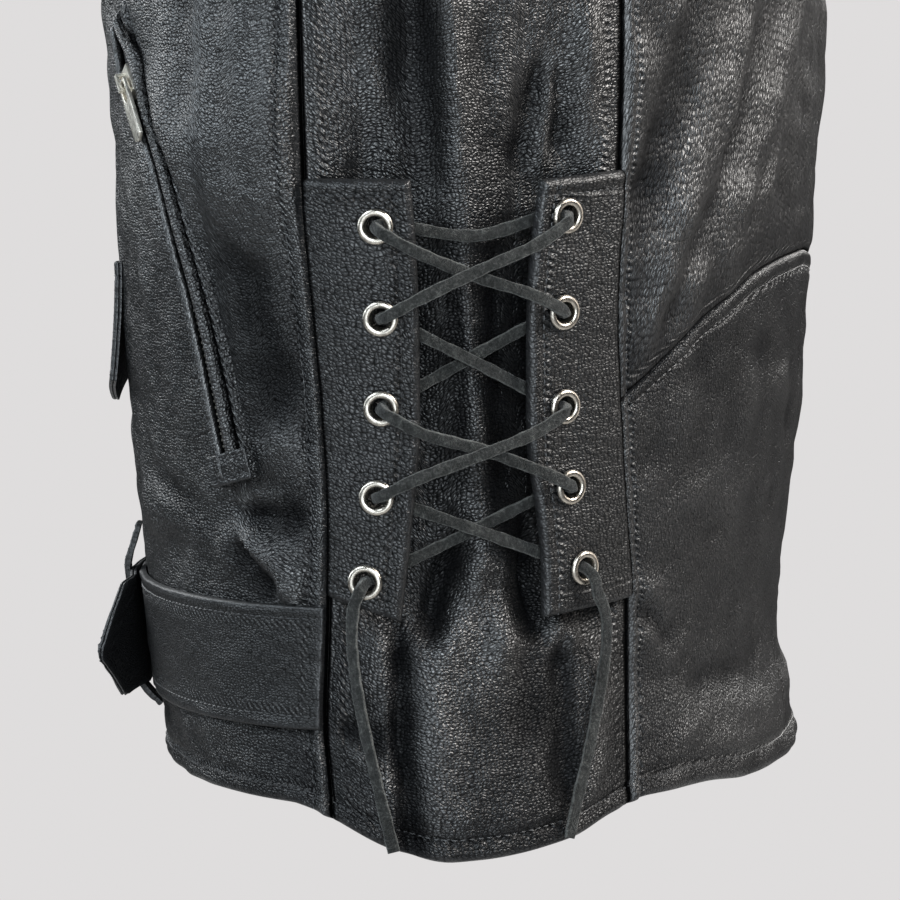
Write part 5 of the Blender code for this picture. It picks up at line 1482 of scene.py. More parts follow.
def add_flap(word, side):
    front = word == "front"
    mirror = side == "right"
    keys = [key for key in EYELET_FRAMES if FLAP_WORDS[key[0]] == word]
    rows = level_steps(FLAP_ROWS["height"][0], FLAP_ROWS["height"][-1], 0.0022)[:, None]
    free = curve(FLAP_ROWS, word, rows)
    width = np.abs(free - edge_arc(rows, word))
    steps = across_steps(width[:, 0], 10)
    to_seam = steps if front else width - steps
    to_free = width - to_seam
    share = to_seam / width
    up = (rows - rows[0]) / (rows[-1] - rows[0])
    slope_low, slope_high = FLAP_SLOPES[word]
    height = rows + (1 - share) * (slope_low + up * (slope_high - slope_low))
    seam = edge_arc(height, word) + (0.0004 if front else -0.0004)
    near = seam + share * (free - seam)
    inner = flap_point(height, near, word, 0.0)
    normals = grid_normals(inner)
    to_top = rows[-1] - rows + np.zeros_like(steps)
    to_low = rows - rows[0] + np.zeros_like(steps)
    ends = (to_free, to_top, to_low)
    rise = FLAP_THICK - FLAP_FALL * np.max([rounded(distance, FLAP_ROUND) for distance in ends], axis=0)
    rise += 0.0004 * bump(0.0026, 0.0016, to_top) + 0.0002 * bump(0.0028, 0.0018, to_free)
    rise -= 0.0004 * bump(0.0060, 0.0011, to_free) + 0.0003 * bump(0.0055, 0.0010, to_top)
    rise += waves(height, near, 41 if front else 42, 0.0003) - 0.0009 * (1 - ramp(0.0, 0.0026, to_seam))
    for middle in map(eyelet_place, keys):
        rise -= EYELET_DENT * bump(0.0, 0.0085, np.hypot(height - middle[0], near - middle[1]))
    outer = inner + rise[..., None] * normals
    # Painted shade along the flap's sewn edge.
    marks = {"edge": np.min(ends, axis=0), "shadow": 1 - ramp(0.0005, 0.0018, to_seam)}
    made = shell(f"flap_{word}_{side}_leather", outer, inner, FLAP_LEATHER, step=2, marks=marks)
    pins = []
    for centre, axis in map(EYELET_FRAMES.get, keys):
        path = np.array([centre - PIN_HALF * axis, centre + PIN_HALF * axis])
        pins.append(round_tube(path, EYELET_HOLE - 0.0003, 24))
    combine(made, add_object("pins", *joined(pins), NICKEL), "DIFFERENCE")
    if mirror:
        made.data.transform(Matrix.Scale(-1, 4, Vector((1, 0, 0))))
        made.data.flip_normals()
    dress(made, [f"flap_{word}_{side}"])
    cloth_sheet(inner)
    sew(f"stitching_flap_{word}_{side}", seams(outer, (-10,), (-10 if front else 9,)), mirror)
    for key in keys:
        name = f"eyelet_{word}_{key[1]}_{side}"
        points, faces = turned(EYELET_PROFILE, *EYELET_FRAMES[key], 40)
        dress(add_object(f"{name}_ring", points, faces, NICKEL, mirror, 60), [name])


# Laces


def bend(key, toward, rows):
    """Points from an eyelet's hole round to a stretch that leaves toward another place."""
    centre, axis = EYELET_FRAMES[key]
    heading = toward - centre
    heading = unit(heading - axis * heading.dot(axis))
    return [centre + heading * along + axis * out for along, out in rows]


def hole_point(key, out):
    """Point on an eyelet's axis."""
    centre, axis = EYELET_FRAMES[key]
    return centre + axis * out


def lace_path():
    """Laced stretch from the first eyelet of the route to its last."""
    path = [hole_point(LACE_ROUTE[0][0], LACE_PART)]
    for start, end, face, level, sag in LACE_ROUTE:
        rows = FRONT_BEND if face > 0 else BACK_BEND
        path += bend(start, EYELET_FRAMES[end][0], rows)
        height, near = (eyelet_place(start) + eyelet_place(end)) / 2
        path.append(skin(height - sag, side_line(height) + near, level))
        path += bend(end, EYELET_FRAMES[start][0], rows)[::-1]
    return np.array([*path, hole_point(LACE_ROUTE[-1][1], LACE_PART)])


def end_path(key, rows):
    """Free end: out of the eyelet, over the flap and down the side panel."""
    height = rows["height"]
    front = edge_arc(height, "front")
    across = np.clip((rows["arc"] - front) / (edge_arc(height, "rear") - front), 0, 1)
    rise = rows["out"] + np.where(height < END_ON_CLOTH, side_rise(height, across), 0.0)
    down = skin(height, side_line(height) + rows["arc"], rise)
    return np.vstack(([hole_point(key, LACE_END_PART)], bend(key, down[0], FRONT_BEND[:4]), down))


LACE_STEP = 0.0009
LACE_SIDES = 14
LACE_BUNCHED = 0.0019
LACE_SQUARENESS = 0.55
BODY_CORE = np.array((0.10, 0.0, 0.0))


def lace_mesh(name, points, mirror, twist):
    """Flat lace along a path, its flat side on the leather and bunched up in the holes."""
    rough = through(points, 10)
    run = lengths(rough)
    at = np.linspace(0, run[-1], int(run[-1] / LACE_STEP))
    path = sampled(rough, at)
    lead = unit(path * (1.0, 1.0, 0.0) - BODY_CORE)
    tangents, side, other = frames_along(path, lead=lead)
    flat = np.clip(1.25 - np.abs((tangents * lead).sum(axis=1)) * 1.25, 0.0, 1.0)[:, None]
    turn = twist * np.sin(at / 0.031)[:, None]
    side, other = side * np.cos(turn) + other * np.sin(turn), other * np.cos(turn) - side * np.sin(turn)
    uneven = np.sin(at / 0.0067) + np.sin(at / 0.0023 + 1.0) + 0.8 * np.sin(at / 0.0012 + 2.0)
    half_width = LACE_BUNCHED + (LACE_WIDTH / 2 - LACE_BUNCHED) * flat
    half_width = half_width * (1 + 0.045 * uneven)[:, None]
    half_thick = LACE_BUNCHED + (LACE_THICK / 2 - LACE_BUNCHED) * flat
    angle = 2 * math.pi * np.arange(LACE_SIDES) / LACE_SIDES
    cosine, sine = [np.sign(v) * np.abs(v) ** LACE_SQUARENESS for v in (np.cos(angle), np.sin(angle))]
    rings = path[:, None] + (half_width * cosine)[..., None] * side[:, None]
    rings = rings + (half_thick * sine)[..., None] * other[:, None]
    edge = np.broadcast_to(np.abs(cosine) > 0.86, rings.shape[:2]).astype(float)
    faces = ring_faces(len(path), LACE_SIDES)
    made = add_object(name, rings.reshape(-1, 3), faces, SUEDE, mirror, 70, {"edge": edge})
    return made, path * ((-1, 1, 1) if mirror else (1, 1, 1))


def add_laces(side):
    mirror = side == "right"
    for word, key, rows in (("front", "F5", FRONT_END), ("rear", "R5", REAR_END)):
        name = f"lace_end_{word}_{side}"
        made, path = lace_mesh(f"{name}_suede", end_path(key, rows), mirror, 0.35)
        dress(made, [name])
    made, _ = lace_mesh(f"lace_{side}_suede", lace_path(), mirror, 0.22)
    dress(made, [f"lace_{side}"])


SIDES = ("left", "right")
for side_name in SIDES:
    add_laces(side_name)
for side_name in SIDES:
    add_front(side_name)
    add_side(side_name)
    for flap_word in FLAP_WORDS.values():
        add_backing(flap_word, flap_word, side_name, 0.0004, ARMPIT - 0.001)
        add_flap(flap_word, side_name)
    add_backing("shoulder", "front", side_name, SHOULDER + 0.001, NECK_HEIGHT - 0.001)
add_back("upper")
add_back("lower")
add_neck_backing()
FRONT_SEAM_PLACE = 1
REAR_SEAM_PLACE = 2 * len(ARMHOLE_ROWS) - 4
WHOLE_LOOP = 2 * len(ARMHOLE_ROWS) - 1 + UNDER_COUNT - 2
for seed_step, side_name in enumerate(SIDES):
    add_armhole_backing(side_name)
    add_sleeve("upper", side_name, FRONT_SEAM_PLACE, REAR_SEAM_PLACE, 51 + seed_step)
    add_sleeve("under", side_name, REAR_SEAM_PLACE, WHOLE_LOOP + FRONT_SEAM_PLACE, 53 + seed_step)

# Slabs: doubled or plain leather on a base grid, with rounded edges

EDGE_STEPS = np.array((0, 0.3, 0.7, 1.2, 1.8, 2.6, 3.6, 4.6, 5.6)) / 1000
EDGE_ROOM = 0.0134
NARROW_STITCH = 0.0026
HEM_STITCH = 0.0056


def edge_steps(length, count):
    """Even distances with closer ones near both ends."""
    ends = EDGE_STEPS * min(1.0, length / EDGE_ROOM)
    middle = np.linspace(ends[-1], length - ends[-1], count + 2)[1:-1]
    return np.concatenate((ends, middle, length - ends[::-1]))


def respaced(lines, count):
    """Lines of a grid read again at distances that are close together at their ends."""
    return np.array([sampled(line, edge_steps(lengths(line)[-1], count)) for line in lines])


def resampled(points, rows, columns):
    """Grid read again at distances that are close together at its edges."""
    along = respaced(points, columns)
    return respaced(along.transpose(1, 0, 2), rows).transpose(1, 0, 2)


def slab(name, base, thick, material, nodes=(), mirror=False, edges=(0, 1, 2, 3),
         radius=0.0011, stitch=0.0043, relief=0.0, held="laid", both=False):
    """Leather on a base grid: its rounded edges, pressed-in stitching and relief on the outer face."""
    distances = [grid_distances(base)[k] for k in edges]
    rise = thick + relief + np.zeros(base.shape[:2])
    for distance in distances:
        rise -= radius * rounded(distance, radius) * min(1.0, (thick - 0.0004) / radius)
        rise -= 0.00035 * bump(stitch, 0.0009, distance)
    outer = base + rise[..., None] * grid_normals(base)
    made = shell(
        name, outer, base, material, step=2, mirror=mirror, marks={"edge": np.min(distances, axis=0)},
        lining=None if both else FLESH,
    )
    dress(made, nodes)
    if held:
        cloth_sheet(base)
    return made, outer


# Belt


def seam_start(height):
    return side_line(height) + edge_arc(height, "front") - 0.0005


def buckle_places():
    """Middles of the heel bar and the front bar, and the way up along the cloth there."""
    heel = chest_point(BELT_MIDDLE, HEEL_BAR, HEEL_LEVEL)
    front = chest_point(BELT_MIDDLE, FRONT_BAR, FRONT_LEVEL)
    up = chest_point(BELT_HIGH, HEEL_BAR, 0.0) - chest_point(BELT_LOW, HEEL_BAR, 0.0)
    return heel, front, unit(up)


def sleeve_ring(radius, half):
    """Rounded profile of a ring that turns on the heel bar."""
    soft = 0.0007
    side = [(BAR_HOLE, -half), (radius - soft, -half), (radius, soft - half)]
    return side + [(reach, -along) for reach, along in side[::-1]]


def belt_wrinkles(along, up, seed):
    """Fine wrinkles and soft waves along a belt."""
    return waves(1.4 * up, along, seed, 0.00022)


def add_left_belt():
    """Left half: from its side seam along the front, its end rolled round the buckle's heel bar."""
    height = BELT_LOW + edge_steps(BELT_HIGH - BELT_LOW, 14)[:, None]
    start = arc_at_x(height, HEEL_BAR + 0.0024)
    width = seam_start(height) - start
    share = edge_steps(1.0, 110)
    arc = start + share * width
    near_seam = np.exp(-((1 - share) * width.mean() / 0.016))
    relief = belt_wrinkles(arc, height, 61) + near_seam * waves(3.2 * height + arc, arc, 62, 0.0004)
    base = over_front(height, arc, BELT_LIFT)
    made, outer = slab("belt_left_leather", base, BELT_THICK, BELT_LEATHER, ["belt_left"], relief=relief)
    heel, _, up = buckle_places()
    for shift in (-ROLL_SHIFT, ROLL_SHIFT):
        points, faces = turned(sleeve_ring(0.0042, ROLL_HALF), heel + up * shift, up, 24)
        combine(made, add_object("roll", points, faces, BELT_LEATHER), "UNION")
    room = np.array((0.006, PRONG_HALF + 0.001, 0.006))
    notch = add_box("notch", (heel, X_AXIS, up, np.cross(up, X_AXIS)), -room, room, FLESH)
    combine(made, notch, "DIFFERENCE")
    sew("stitching_belt_left", seams(outer, (7, -8)))


def strap_over_stations(up):
    """Stations of the right half at shares up the strap, from its side seam to the start of its tip."""
    height = BELT_LOW + up[:, None] * (BELT_HIGH - BELT_LOW)
    start = -seam_start(height)
    x = np.linspace(STRAP_OVER["x"][0], STRAP_OVER["x"][-1], 40)
    share = np.linspace(0, 1, 24)[:-1]
    lying = over_front(height, start + share * (arc_at_x(height, x[0]) - start), BELT_LIFT)
    over = chest_point(height, x, curve(STRAP_OVER, "lift", x))
    tip = np.zeros((len(up), len(BELT_TIP["x"]), 3))
    tip[..., 0] = BELT_TIP["x"]
    tip[..., 1] = BELT_TIP["y"]
    tip[..., 2] = BELT_TIP["bottom"] + up[:, None] * (BELT_TIP["top"] - BELT_TIP["bottom"]) - HELD_HEIGHT
    return np.concatenate((lying, over, tip), axis=1)


def add_right_belt():
    """Right half of two layers: from its side seam through the buckle, over the left half to a free tip."""
    up = edge_steps(BELT_HIGH - BELT_LOW, 14) / (BELT_HIGH - BELT_LOW)
    share = edge_steps(1.0, 170)
    base = np.array([sampled(line, share * lengths(line)[-1]) for line in strap_over_stations(up)])
    relief = belt_wrinkles(grid_distances(base)[0], base[..., 2], 63)
    normals = grid_normals(base)
    slot_place = (chest_point(BELT_MIDDLE, HEEL_BAR - 0.010, 0.0), X_AXIS, Z_AXIS, -Y_AXIS)
    layer = BELT_THICK / 2
    for word, level, bent in (("inner", 0.0, 0.0), ("outer", layer + 0.00006, relief)):
        made, outer = slab(
            f"belt_right_{word}_layer", base + level * normals, layer - 0.00003, BELT_LEATHER,
            ["belt_right"] if word == "outer" else (), radius=0.0008, relief=bent,
            both=True,
        )
        cutter = add_box("slot", slot_place, (-0.011, -0.0032, 0.0), (0.0095, 0.0032, 0.025), FLESH)
        combine(made, cutter, "DIFFERENCE")
    sew("stitching_belt_right", seams(outer, (7, -8)))


def add_buckle():
    heel, front, up = buckle_places()
    along = front - heel
    shares, drops = [column[:, None] for column in BUCKLE_SIDE.values()]
    side, other = [heel + along * shares + sign * up * (BUCKLE_HALF - drops) for sign in (1, -1)]
    corners = np.vstack((side, other[::-1], side[:1]))
    path = np.vstack([np.linspace(a, b, 9)[:-1] for a, b in zip(corners, corners[1:])])
    for _ in range(3):
        path = 0.5 * path + 0.25 * (np.roll(path, 1, axis=0) + np.roll(path, -1, axis=0))
    bar = add_object("buckle_bar", *round_tube(path, BUCKLE_BAR, 20, closed=True), NICKEL)
    dress(bar, ["buckle_frame"])
    prong = add_object("prong_bar", *turned(sleeve_ring(0.0041, PRONG_HALF), heel, up, 32), NICKEL)
    rod = np.array([
        heel - Y_AXIS * 0.0034 - X_AXIS * 0.0010,
        heel - Y_AXIS * 0.0050 - X_AXIS * 0.0060,
        heel + along * 0.5 - Y_AXIS * 0.0058,
        front - Y_AXIS * 0.0044,
        front - Y_AXIS * 0.0034 - X_AXIS * 0.0045,
    ])
    combine(prong, add_object("rod", *round_tube(through(rod, 8), PRONG_BAR), NICKEL), "UNION")
    dress(prong, ["buckle_prong"])


def add_belt_loop(side, clear):
    height = np.linspace(LOOP_ROWS["height"][0], LOOP_ROWS["height"][-1], 40)[:, None]
    x = np.linspace(LOOP_X - LOOP_HALF, LOOP_X + LOOP_HALF, 9)
    lift = TRIM_LIFT + clear * np.interp(height, *LOOP_ROWS.values())
    _, outer = slab(
        f"belt_loop_{side}_leather", resampled(chest_point(height, x, lift), 26, 4), LEATHER, BELT_LEATHER,
        [f"belt_loop_{side}"], mirror=side == "right", radius=0.0008, stitch=NARROW_STITCH,
        both=True,
    )
    sew(f"stitching_belt_loop_{side}", seams(outer, (), (5, -6), back=True), side == "right")


# Pocket zips

LIP_THICK = 0.0031
LIP_FRONT = 0.0032
LIP_REAR = 0.0056
REAR_HALF = 0.0112
GROOVE_STEPS = np.array((0.0002, 0.0006, 0.0011, 0.0016))
SLOT_CLOSED = 0.0009
SLOT_PARTED = 0.0040
END_BOX = 0.072
TEETH_PITCH = 0.0024
FRONT_PITCH = 0.0030


def pocket_place(t):
    """Height and arc of the pocket zip's middle at a share of its length, straight on past its ends."""
    heights, arcs = POCKET_LINE.values()
    height = heights[0] + t * (heights[-1] - heights[0])
    slopes = np.diff(arcs) / np.diff(heights)
    past = np.minimum(height - heights[0], 0) * slopes[0] + np.maximum(height - heights[-1], 0) * slopes[-1]
    return height, curve(POCKET_LINE, "arc", height) + past


def pocket_point(t, across, out):
    """Point beside the pocket zip, across + toward the back."""
    h0, a0 = pocket_place(t - 0.01)
    h1, a1 = pocket_place(t + 0.01)
    length = np.hypot(h1 - h0, a1 - a0)
    height, near = pocket_place(t)
    height = height - across * (a1 - a0) / length
    near = near + across * (h1 - h0) / length
    return over_front(height, side_line(height) + near, out)


def pocket_frame(t, out):
    """Origin, across, along and out at a share of the pocket zip."""
    along = unit(pocket_point(t + 0.03, 0.0, out) - pocket_point(t - 0.03, 0.0, out))
    across = unit(pocket_point(t, 0.004, out) - pocket_point(t, -0.004, out))
    normal = unit(np.cross(across, along))
    return pocket_point(t, 0.0, out), unit(np.cross(along, normal)), along, normal


def slot_half(t):
    """Half width of the gap between the lips: nearly closed, then parted round the slider."""
    return SLOT_CLOSED + SLOT_PARTED * np.sin(math.pi * np.clip((t - 0.80) / 0.205, 0.0, 1.0))


def lip_relief(inside, width):
    """Rolled lip beside the slot, the groove behind it, and flat leather out to the stitched edge."""
    roll = LIP_THICK * np.sqrt(np.clip(1 - ((inside - width / 2) / (width / 2)) ** 2, 0.0, 1.0))
    outside = 0.0008 * ramp(width + 0.0005, width + 0.0013, inside)
    return np.where(inside < width, np.maximum(roll, 0.0002), 0.0) + outside


def add_pocket(side):
    """Lips and lower end of a pocket, with their stitching, then its zip."""
    mirror = side == "right"
    t = edge_steps(1 + 2 * POCKET_END, 120)[:, None] - POCKET_END
    slot = slot_half(t)
    ends = window(-POCKET_END, 0.02 - POCKET_END, 0.98 + POCKET_END, 1 + POCKET_END, t)
    lines = []
    for word, sign, width, half in (("front", -1, LIP_FRONT, WELT_HALF), ("rear", 1, LIP_REAR, REAR_HALF)):
        fine = np.concatenate((np.linspace(0, width, 13), width + GROOVE_STEPS))
        rest = np.linspace(0, 1, 8)[1:] * (half - slot - fine[-1]) + fine[-1]
        across = slot + np.hstack((np.broadcast_to(fine, (len(t), len(fine))), rest))
        if sign < 0:
            across = across[:, ::-1]
        inside = across - slot
        level = TRIM_LIFT + 0.0001 - 0.0026 * ramp(half - 0.0022, half, across)
        base = pocket_point(t, sign * across, level)
        relief = lip_relief(inside, width) + waves(t * 0.16, across, 71 if sign > 0 else 72, 0.00012)
        outer = base + (0.0003 + relief * ends)[..., None] * grid_normals(base)
        # Painted shade in each lip's groove and in the slot; a painted highlight on the lip's roll and beside
        # its groove.
        marks = {
            "edge": inside,
            "shadow": np.maximum(bump(width + 0.0004, 0.0010, inside), 1 - ramp(0.0, 0.0007, inside)),
            "painted_sheen_and_shade": bump(width / 2, width / 2, inside) + 0.5 * bump(width + 0.0018, 0.0008, inside),
        }
        name = f"pocket_lip_{word}_{side}"
        made = shell(name, outer, base, FRONT_LEATHER, step=2, mirror=mirror, marks=marks)
        dress(made, [f"pocket_welt_{side}"] if sign > 0 else ())
        lines += seams(outer, (), (-6 if sign > 0 else 5,), back=True)
    share = np.linspace(-POCKET_END, END_BOX - POCKET_END, 12)[:, None]
    base = pocket_point(share, np.linspace(-WELT_HALF, REAR_HALF, 12), TRIM_LIFT + 0.0022)
    _, outer = slab(
        f"pocket_end_{side}", resampled(base, 8, 8), 0.0011, FRONT_LEATHER, mirror=mirror,
        radius=0.0009, stitch=NARROW_STITCH, held=None,
    )
    sew(f"stitching_pocket_{side}", lines + seams(outer, (5, -6)), mirror)
    add_pocket_zip(side, mirror)


def add_teeth(name, zip_name, frames, pitch, shift, low, high, mirror=False):
    """Two rows of teeth that mesh along a zip, in frames of (origins, across, along, out)."""
    origins, across, along, out = frames
    parts = []
    for sign in (-1, 1):
        origin = origins + sign * shift * across + sign * pitch / 4 * along
        parts.append(boxes(low, high, origin, across, along, out, 0.2))
    dress(add_object(name, *joined(parts), ZIP_METAL, mirror, 30), [zip_name])


def add_pocket_zip(side, mirror):
    """Tape, teeth and slider of a pocket zip, and its pull tab."""
    share = np.linspace(0.01, 0.99, 60)
    low = pocket_point(share[:, None], np.linspace(-0.0052, 0.0052, 5), TRIM_LIFT - 0.0004)
    tape = shell(f"pocket_tape_{side}", low + 0.0004 * grid_normals(low), low, TAPE, step=1, mirror=mirror)
    dress(tape)
    length = lengths(pocket_point(share, 0.0, TRIM_LIFT))[-1]
    places = np.linspace(0.015, 0.86, int(length * 0.845 / TEETH_PITCH))
    frames = [np.array(part) for part in zip(*[pocket_frame(t, TRIM_LIFT) for t in places])]
    add_teeth(
        f"pocket_teeth_{side}", f"pocket_zip_{side}", frames, TEETH_PITCH, 0.0006, (-0.0012, -0.0005, 0.0),
        (0.0012, 0.0005, 0.0008), mirror,
    )
    place = pocket_frame(SLIDER_STATION, TRIM_LIFT)
    add_slider(f"pocket_slider_{side}", f"pocket_pull_{side}", place, mirror)


def add_slider(name, pull_name, place, mirror=False):
    """Rounded slider with its bridge, and the pull tab hung under the bridge's bar."""
    origin, across, along, out = place
    made = add_box(name, place, *SLIDER_BOXES[0], ZIP_METAL, mirror)
    for low, high in SLIDER_BOXES[1:]:
        combine(made, add_box("bridge", place, low, high, ZIP_METAL, mirror), "UNION")
    dress(bevelled(made, 0.0004))
    tab = {key: column[:, None] for key, column in PULL_TAB.items()}
    edge = tab["across"] * across + tab["along"] * along
    eye = tab["eye_across"] * across + tab["eye_along"] * along
    high = origin + (PULL_LEVEL + PULL_THICK / 2) * out
    low = origin + (PULL_LEVEL - PULL_THICK / 2) * out
    points = np.vstack((high + edge, high + eye, low + eye, low + edge))
    pull = add_object(f"{pull_name}_tab", points, ring_faces(4, len(edge), True), ZIP_METAL, mirror)
    dress(bevelled(pull, 0.00028), [pull_name], pull_name)


def front_slider_frame():
    """Frame of the front zip's slider near the top of the zip."""
    height = ZIP_TOP - 0.016
    origin = chest_point(height, zip_x(height), 0.0)
    along = unit(chest_point(height + 0.01, zip_x(height + 0.01), 0.0) - origin)
    across = unit(chest_point(height, zip_x(height) + 0.01, 0.0) - origin)
    out = unit(np.cross(across, along))
    return origin + out * TRIM_LIFT, unit(np.cross(along, out)), along, out


def add_front_zip():
    """Closed front zip between the two fronts: tape, big teeth and slider."""
    height = np.linspace(0.002, ZIP_TOP - 0.001, 110)[:, None]
    arcs = arc_at_x(height, zip_x(height) + np.linspace(-ZIP_HALF, ZIP_HALF, 5))
    points, normals = on_body(height, arcs, hem=True)
    tape = shell("front_tape", points - 0.0010 * normals, points - 0.0018 * normals, TAPE, step=1)
    dress(tape)
    line = points[:, 2] - 0.0008 * normals[:, 2]
    run = lengths(line)
    at = np.arange(0.004, run[-1] - 0.012, FRONT_PITCH)
    out = unit(sampled(normals[:, 2], at, run))
    along = unit(sampled(line, at + 0.001) - sampled(line, at - 0.001))
    frames = sampled(line, at), unit(np.cross(along, out)), along, out
    low, high = (-0.0022, -0.0006, -0.0002), (0.0022, 0.0006, 0.0010)
    add_teeth("front_teeth", "front_zip", frames, FRONT_PITCH, 0.0014, low, high)
    add_slider("front_slider", "front_pull", front_slider_frame())


# Coin pocket flap, lapels and collar


def add_coin_flap():
    """Flap of two layers sewn down along its top, standing away at its lower edge."""
    t = np.linspace(1.0, 0.0, 22)[:, None]
    x = np.linspace(COIN_START, COIN_END, 34)
    share = np.abs(2 * x - COIN_START - COIN_END) / (COIN_END - COIN_START)
    height = COIN_TOP - t * (COIN_DROP + COIN_POINT * (1 - share))
    base = resampled(chest_point(height, x, TRIM_LIFT + COIN_STAND * t ** 1.5), 14, 24)
    normals = grid_normals(base)
    layer = COIN_THICK / 2
    for word, level in (("inner", 0.0), ("outer", layer + 0.0001)):
        _, outer = slab(
            f"coin_flap_{word}_layer", base + level * normals, layer - 0.00005, FLAP_LEATHER,
            ["coin_flap"] if word == "outer" else (), radius=0.0007, stitch=HEM_STITCH,
            both=True,
        )
    sew("stitching_coin_flap", seams(outer, (8, -9), (8, -9), back=True))


def add_lapel(side):
    """Turned-back front edge lying on the chest."""
    mirror = side == "right"
    rows = LAPELS[side]
    rows = {"share": np.linspace(0, 1, len(rows["fold_x"])), **rows}
    v = np.linspace(0, 1, 60)[:, None]
    fold_x, fold_h, edge_x, edge_h = [curve(rows, c, v) for c in list(rows)[1:]]
    t = np.linspace(0, 1, 40)
    lift = LAPEL_LIFT + LAPEL_ROLL * np.sin(math.pi * np.minimum(t, 0.5)) * (1 - t)
    base = chest_point(fold_h + t * (edge_h - fold_h), fold_x + t * (edge_x - fold_x), lift)
    base = resampled(base, 50, 30)
    relief = waves(base[..., 2], base[..., 0], 81 if mirror else 82, 0.0004)
    _, outer = slab(
        f"lapel_{side}_leather", base, LEATHER, FRONT_LEATHER, [f"lapel_{side}"], mirror,
        edges=(1, 2, 3), stitch=HEM_STITCH, relief=relief, held="folded",
    )
    sew(f"stitching_lapel_{side}", seams(outer, (-9,), (-9,), back=True), mirror)


def add_collar():
    """Fold-down collar round the neck from one front edge to the other."""
    degrees = np.linspace(-COLLAR_END, COLLAR_END, 130)
    turn = np.abs(degrees)
    full = ring_length(NECK_HEIGHT)
    middle = side_line(NECK_HEIGHT)
    end = arc_at_x(NECK_HEIGHT, NECK_HALF)
    place = full - (full - middle) * np.minimum(turn / 90, 1.0)
    place = np.where(turn > 90, middle - (middle - end) * (turn - 90) / (COLLAR_END - 90), place)
    place = np.where(degrees < 0, -place, place)
    foot = on_body(NECK_HEIGHT, place)[0]
    out = unit(on_body(NECK_HEIGHT - 0.003, place)[1] * (1, 1, 0))
    slope = np.radians(curve(COLLAR_SLOPES, "slope", turn))
    stand = through(np.stack(list(COLLAR_STAND.values()), axis=1), 5)
    fall = np.linspace(0, COLLAR_FALL, 16)[1:]
    grid = []
    for start, away, s in zip(foot, out, slope):
        profile = np.vstack((stand, stand[-1] + np.outer(fall, (math.cos(s), -math.sin(s)))))
        grid.append(start + np.outer(profile[:, 0], away) + np.outer(profile[:, 1], Z_AXIS))
    grid = resampled(np.array(grid).transpose(1, 0, 2), 34, 110)
    normals = grid_normals(grid)
    if normals[len(grid) * 3 // 4, grid.shape[1] // 2, 1] < 0:
        grid = grid[:, ::-1]
        normals = grid_normals(grid)
    relief = waves(grid[..., 2], grid[..., 0], 83, 0.0003)
    _, outer = slab(
        "collar_leather", grid - LEATHER * normals, LEATHER, FRONT_LEATHER, ["collar"],
        edges=(0, 1, 3), stitch=HEM_STITCH, relief=relief, held="folded",
    )
    sew("stitching_collar", seams(outer, (-9,), (8, -9), back=True))


add_left_belt()
add_right_belt()
add_buckle()
add_belt_loop("left", 0.0068)
add_belt_loop("right", 0.0034)
for side_name in SIDES:
    add_pocket(side_name)
add_front_zip()
add_coin_flap()
for side_name in SIDES:
    add_lapel(side_name)
add_collar()

# Light, floor and world: lights by name, place, aim, size, power and tint

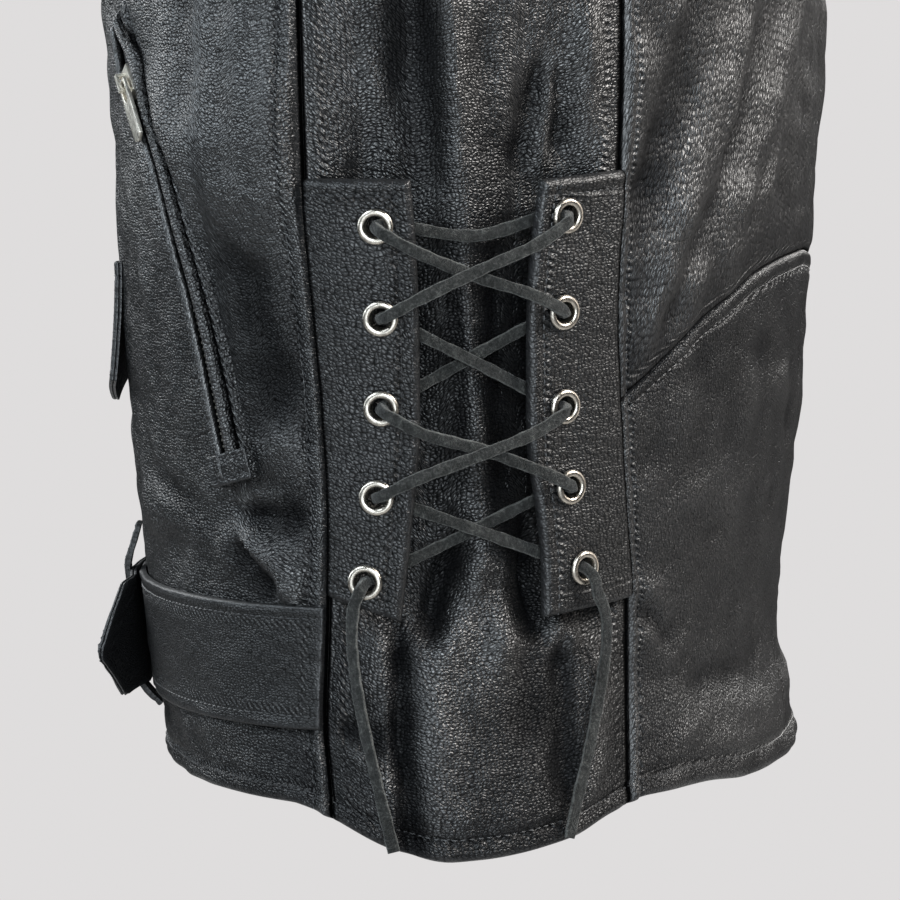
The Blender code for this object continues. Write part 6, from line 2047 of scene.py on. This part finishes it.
PALE = (0.737, 0.723, 0.723, 1)
SURROUND = (0.86, 0.92, 1.0, 1)
FLOOR_REACH = 40.0
FLOOR_DROP = 0.85
CHEST = Vector((0.12, 0.0, -0.28))
MIDDLE = Vector((0.0, 0.0, -0.35))
LIGHTS = (
    ("back_near", (0.21, 0.97, 0.33), CHEST, 0.6, 19, (1.0, 0.96, 0.92)),
    ("back_far", (0.29, 1.96, 1.26), CHEST, 1.2, 9, (1.0, 0.98, 0.96)),
    ("back_side", (-0.91, 2.22, 0.24), CHEST, 1.2, 9, (1.0, 0.94, 0.88)),
    ("back_low", (-0.87, 2.13, -1.14), CHEST, 1.2, 5, (1.0, 0.94, 0.88)),
    ("near_key", (1.22, 0.30, -0.12), CHEST, 0.6, 10, (0.86, 0.94, 1.0)),
    ("low_glow", (2.39, 0.61, -1.14), CHEST, 1.2, 18, (0.86, 0.94, 1.0)),
    ("low_key", (2.39, -0.61, -1.14), CHEST, 1.2, 9, (0.84, 0.93, 1.0)),
    ("front_key", (0.81, -0.69, 0.33), CHEST, 0.6, 8, (0.82, 0.92, 1.0)),
    ("front_near", (0.32, -1.12, -0.12), CHEST, 0.6, 5.5, (0.84, 0.93, 1.0)),
    ("front_fill", (-1.4, -2.4, 1.0), MIDDLE, 1.6, 45, (0.95, 0.98, 1.0)),
    ("far_fill", (-2.4, 0.8, 1.2), MIDDLE, 1.6, 80, (1.0, 0.98, 0.95)),
)


def add_light(name, place, aim, size, power, tint):
    data = bpy.data.lights.new(name, "AREA")
    data.size = size
    data.energy = power
    data.color = tint
    light = link(name, data)
    light.visible_camera = False
    point_at(light, place, aim - Vector(place))


def emptied(holder):
    """Node tree of a material or a world, with no nodes left in it."""
    holder.use_nodes = True
    holder.node_tree.nodes.clear()
    return holder.node_tree


def show(tree, output, lit, seen):
    """Let one shader light the scene and another be seen by the camera."""
    camera_ray = Field(tree, "LightPath", "Is Camera Ray")
    mixed = Field(tree, "MixShader", 0, {0: camera_ray, 1: lit, 2: seen})
    feed(tree.nodes.new("ShaderNode" + output), {"Surface": mixed})


def add_room():
    """Pale floor and background, seen as one even tone, and a dim surround for reflections."""
    mesh = bpy.data.meshes.new("floor")
    corners = [(x * FLOOR_REACH, y * FLOOR_REACH) for x, y in ((-1, -1), (1, -1), (1, 1), (-1, 1))]
    mesh.from_pydata([(x, y, CAD_LOW.z - FLOOR_DROP) for x, y in corners], [], [(0, 1, 2, 3)])
    floor = link("floor", mesh)
    material = bpy.data.materials.new("floor")
    tree = emptied(material)
    tone = Field(tree, "TexNoise", 0, {"Scale": 3.0}).shades((0.0, (0.45,) * 3), (1.0, (0.5,) * 3))
    lit = Field(tree, "BsdfDiffuse", 0, {"Color": tone})
    show(tree, "OutputMaterial", lit, Field(tree, "Emission", 0, {"Color": PALE}))
    mesh.materials.append(material)
    world = bpy.data.worlds.new("room")
    bpy.context.scene.world = world
    tree = emptied(world)
    dim, pale = [
        Field(tree, "Background", 0, {"Color": colour, "Strength": strength})
        for colour, strength in ((SURROUND, 0.03), (PALE, 1.0))
    ]
    show(tree, "OutputWorld", dim, pale)


add_room()
for light_row in LIGHTS:
    add_light(*light_row)
bpy.context.scene.view_settings.view_transform = "Standard"
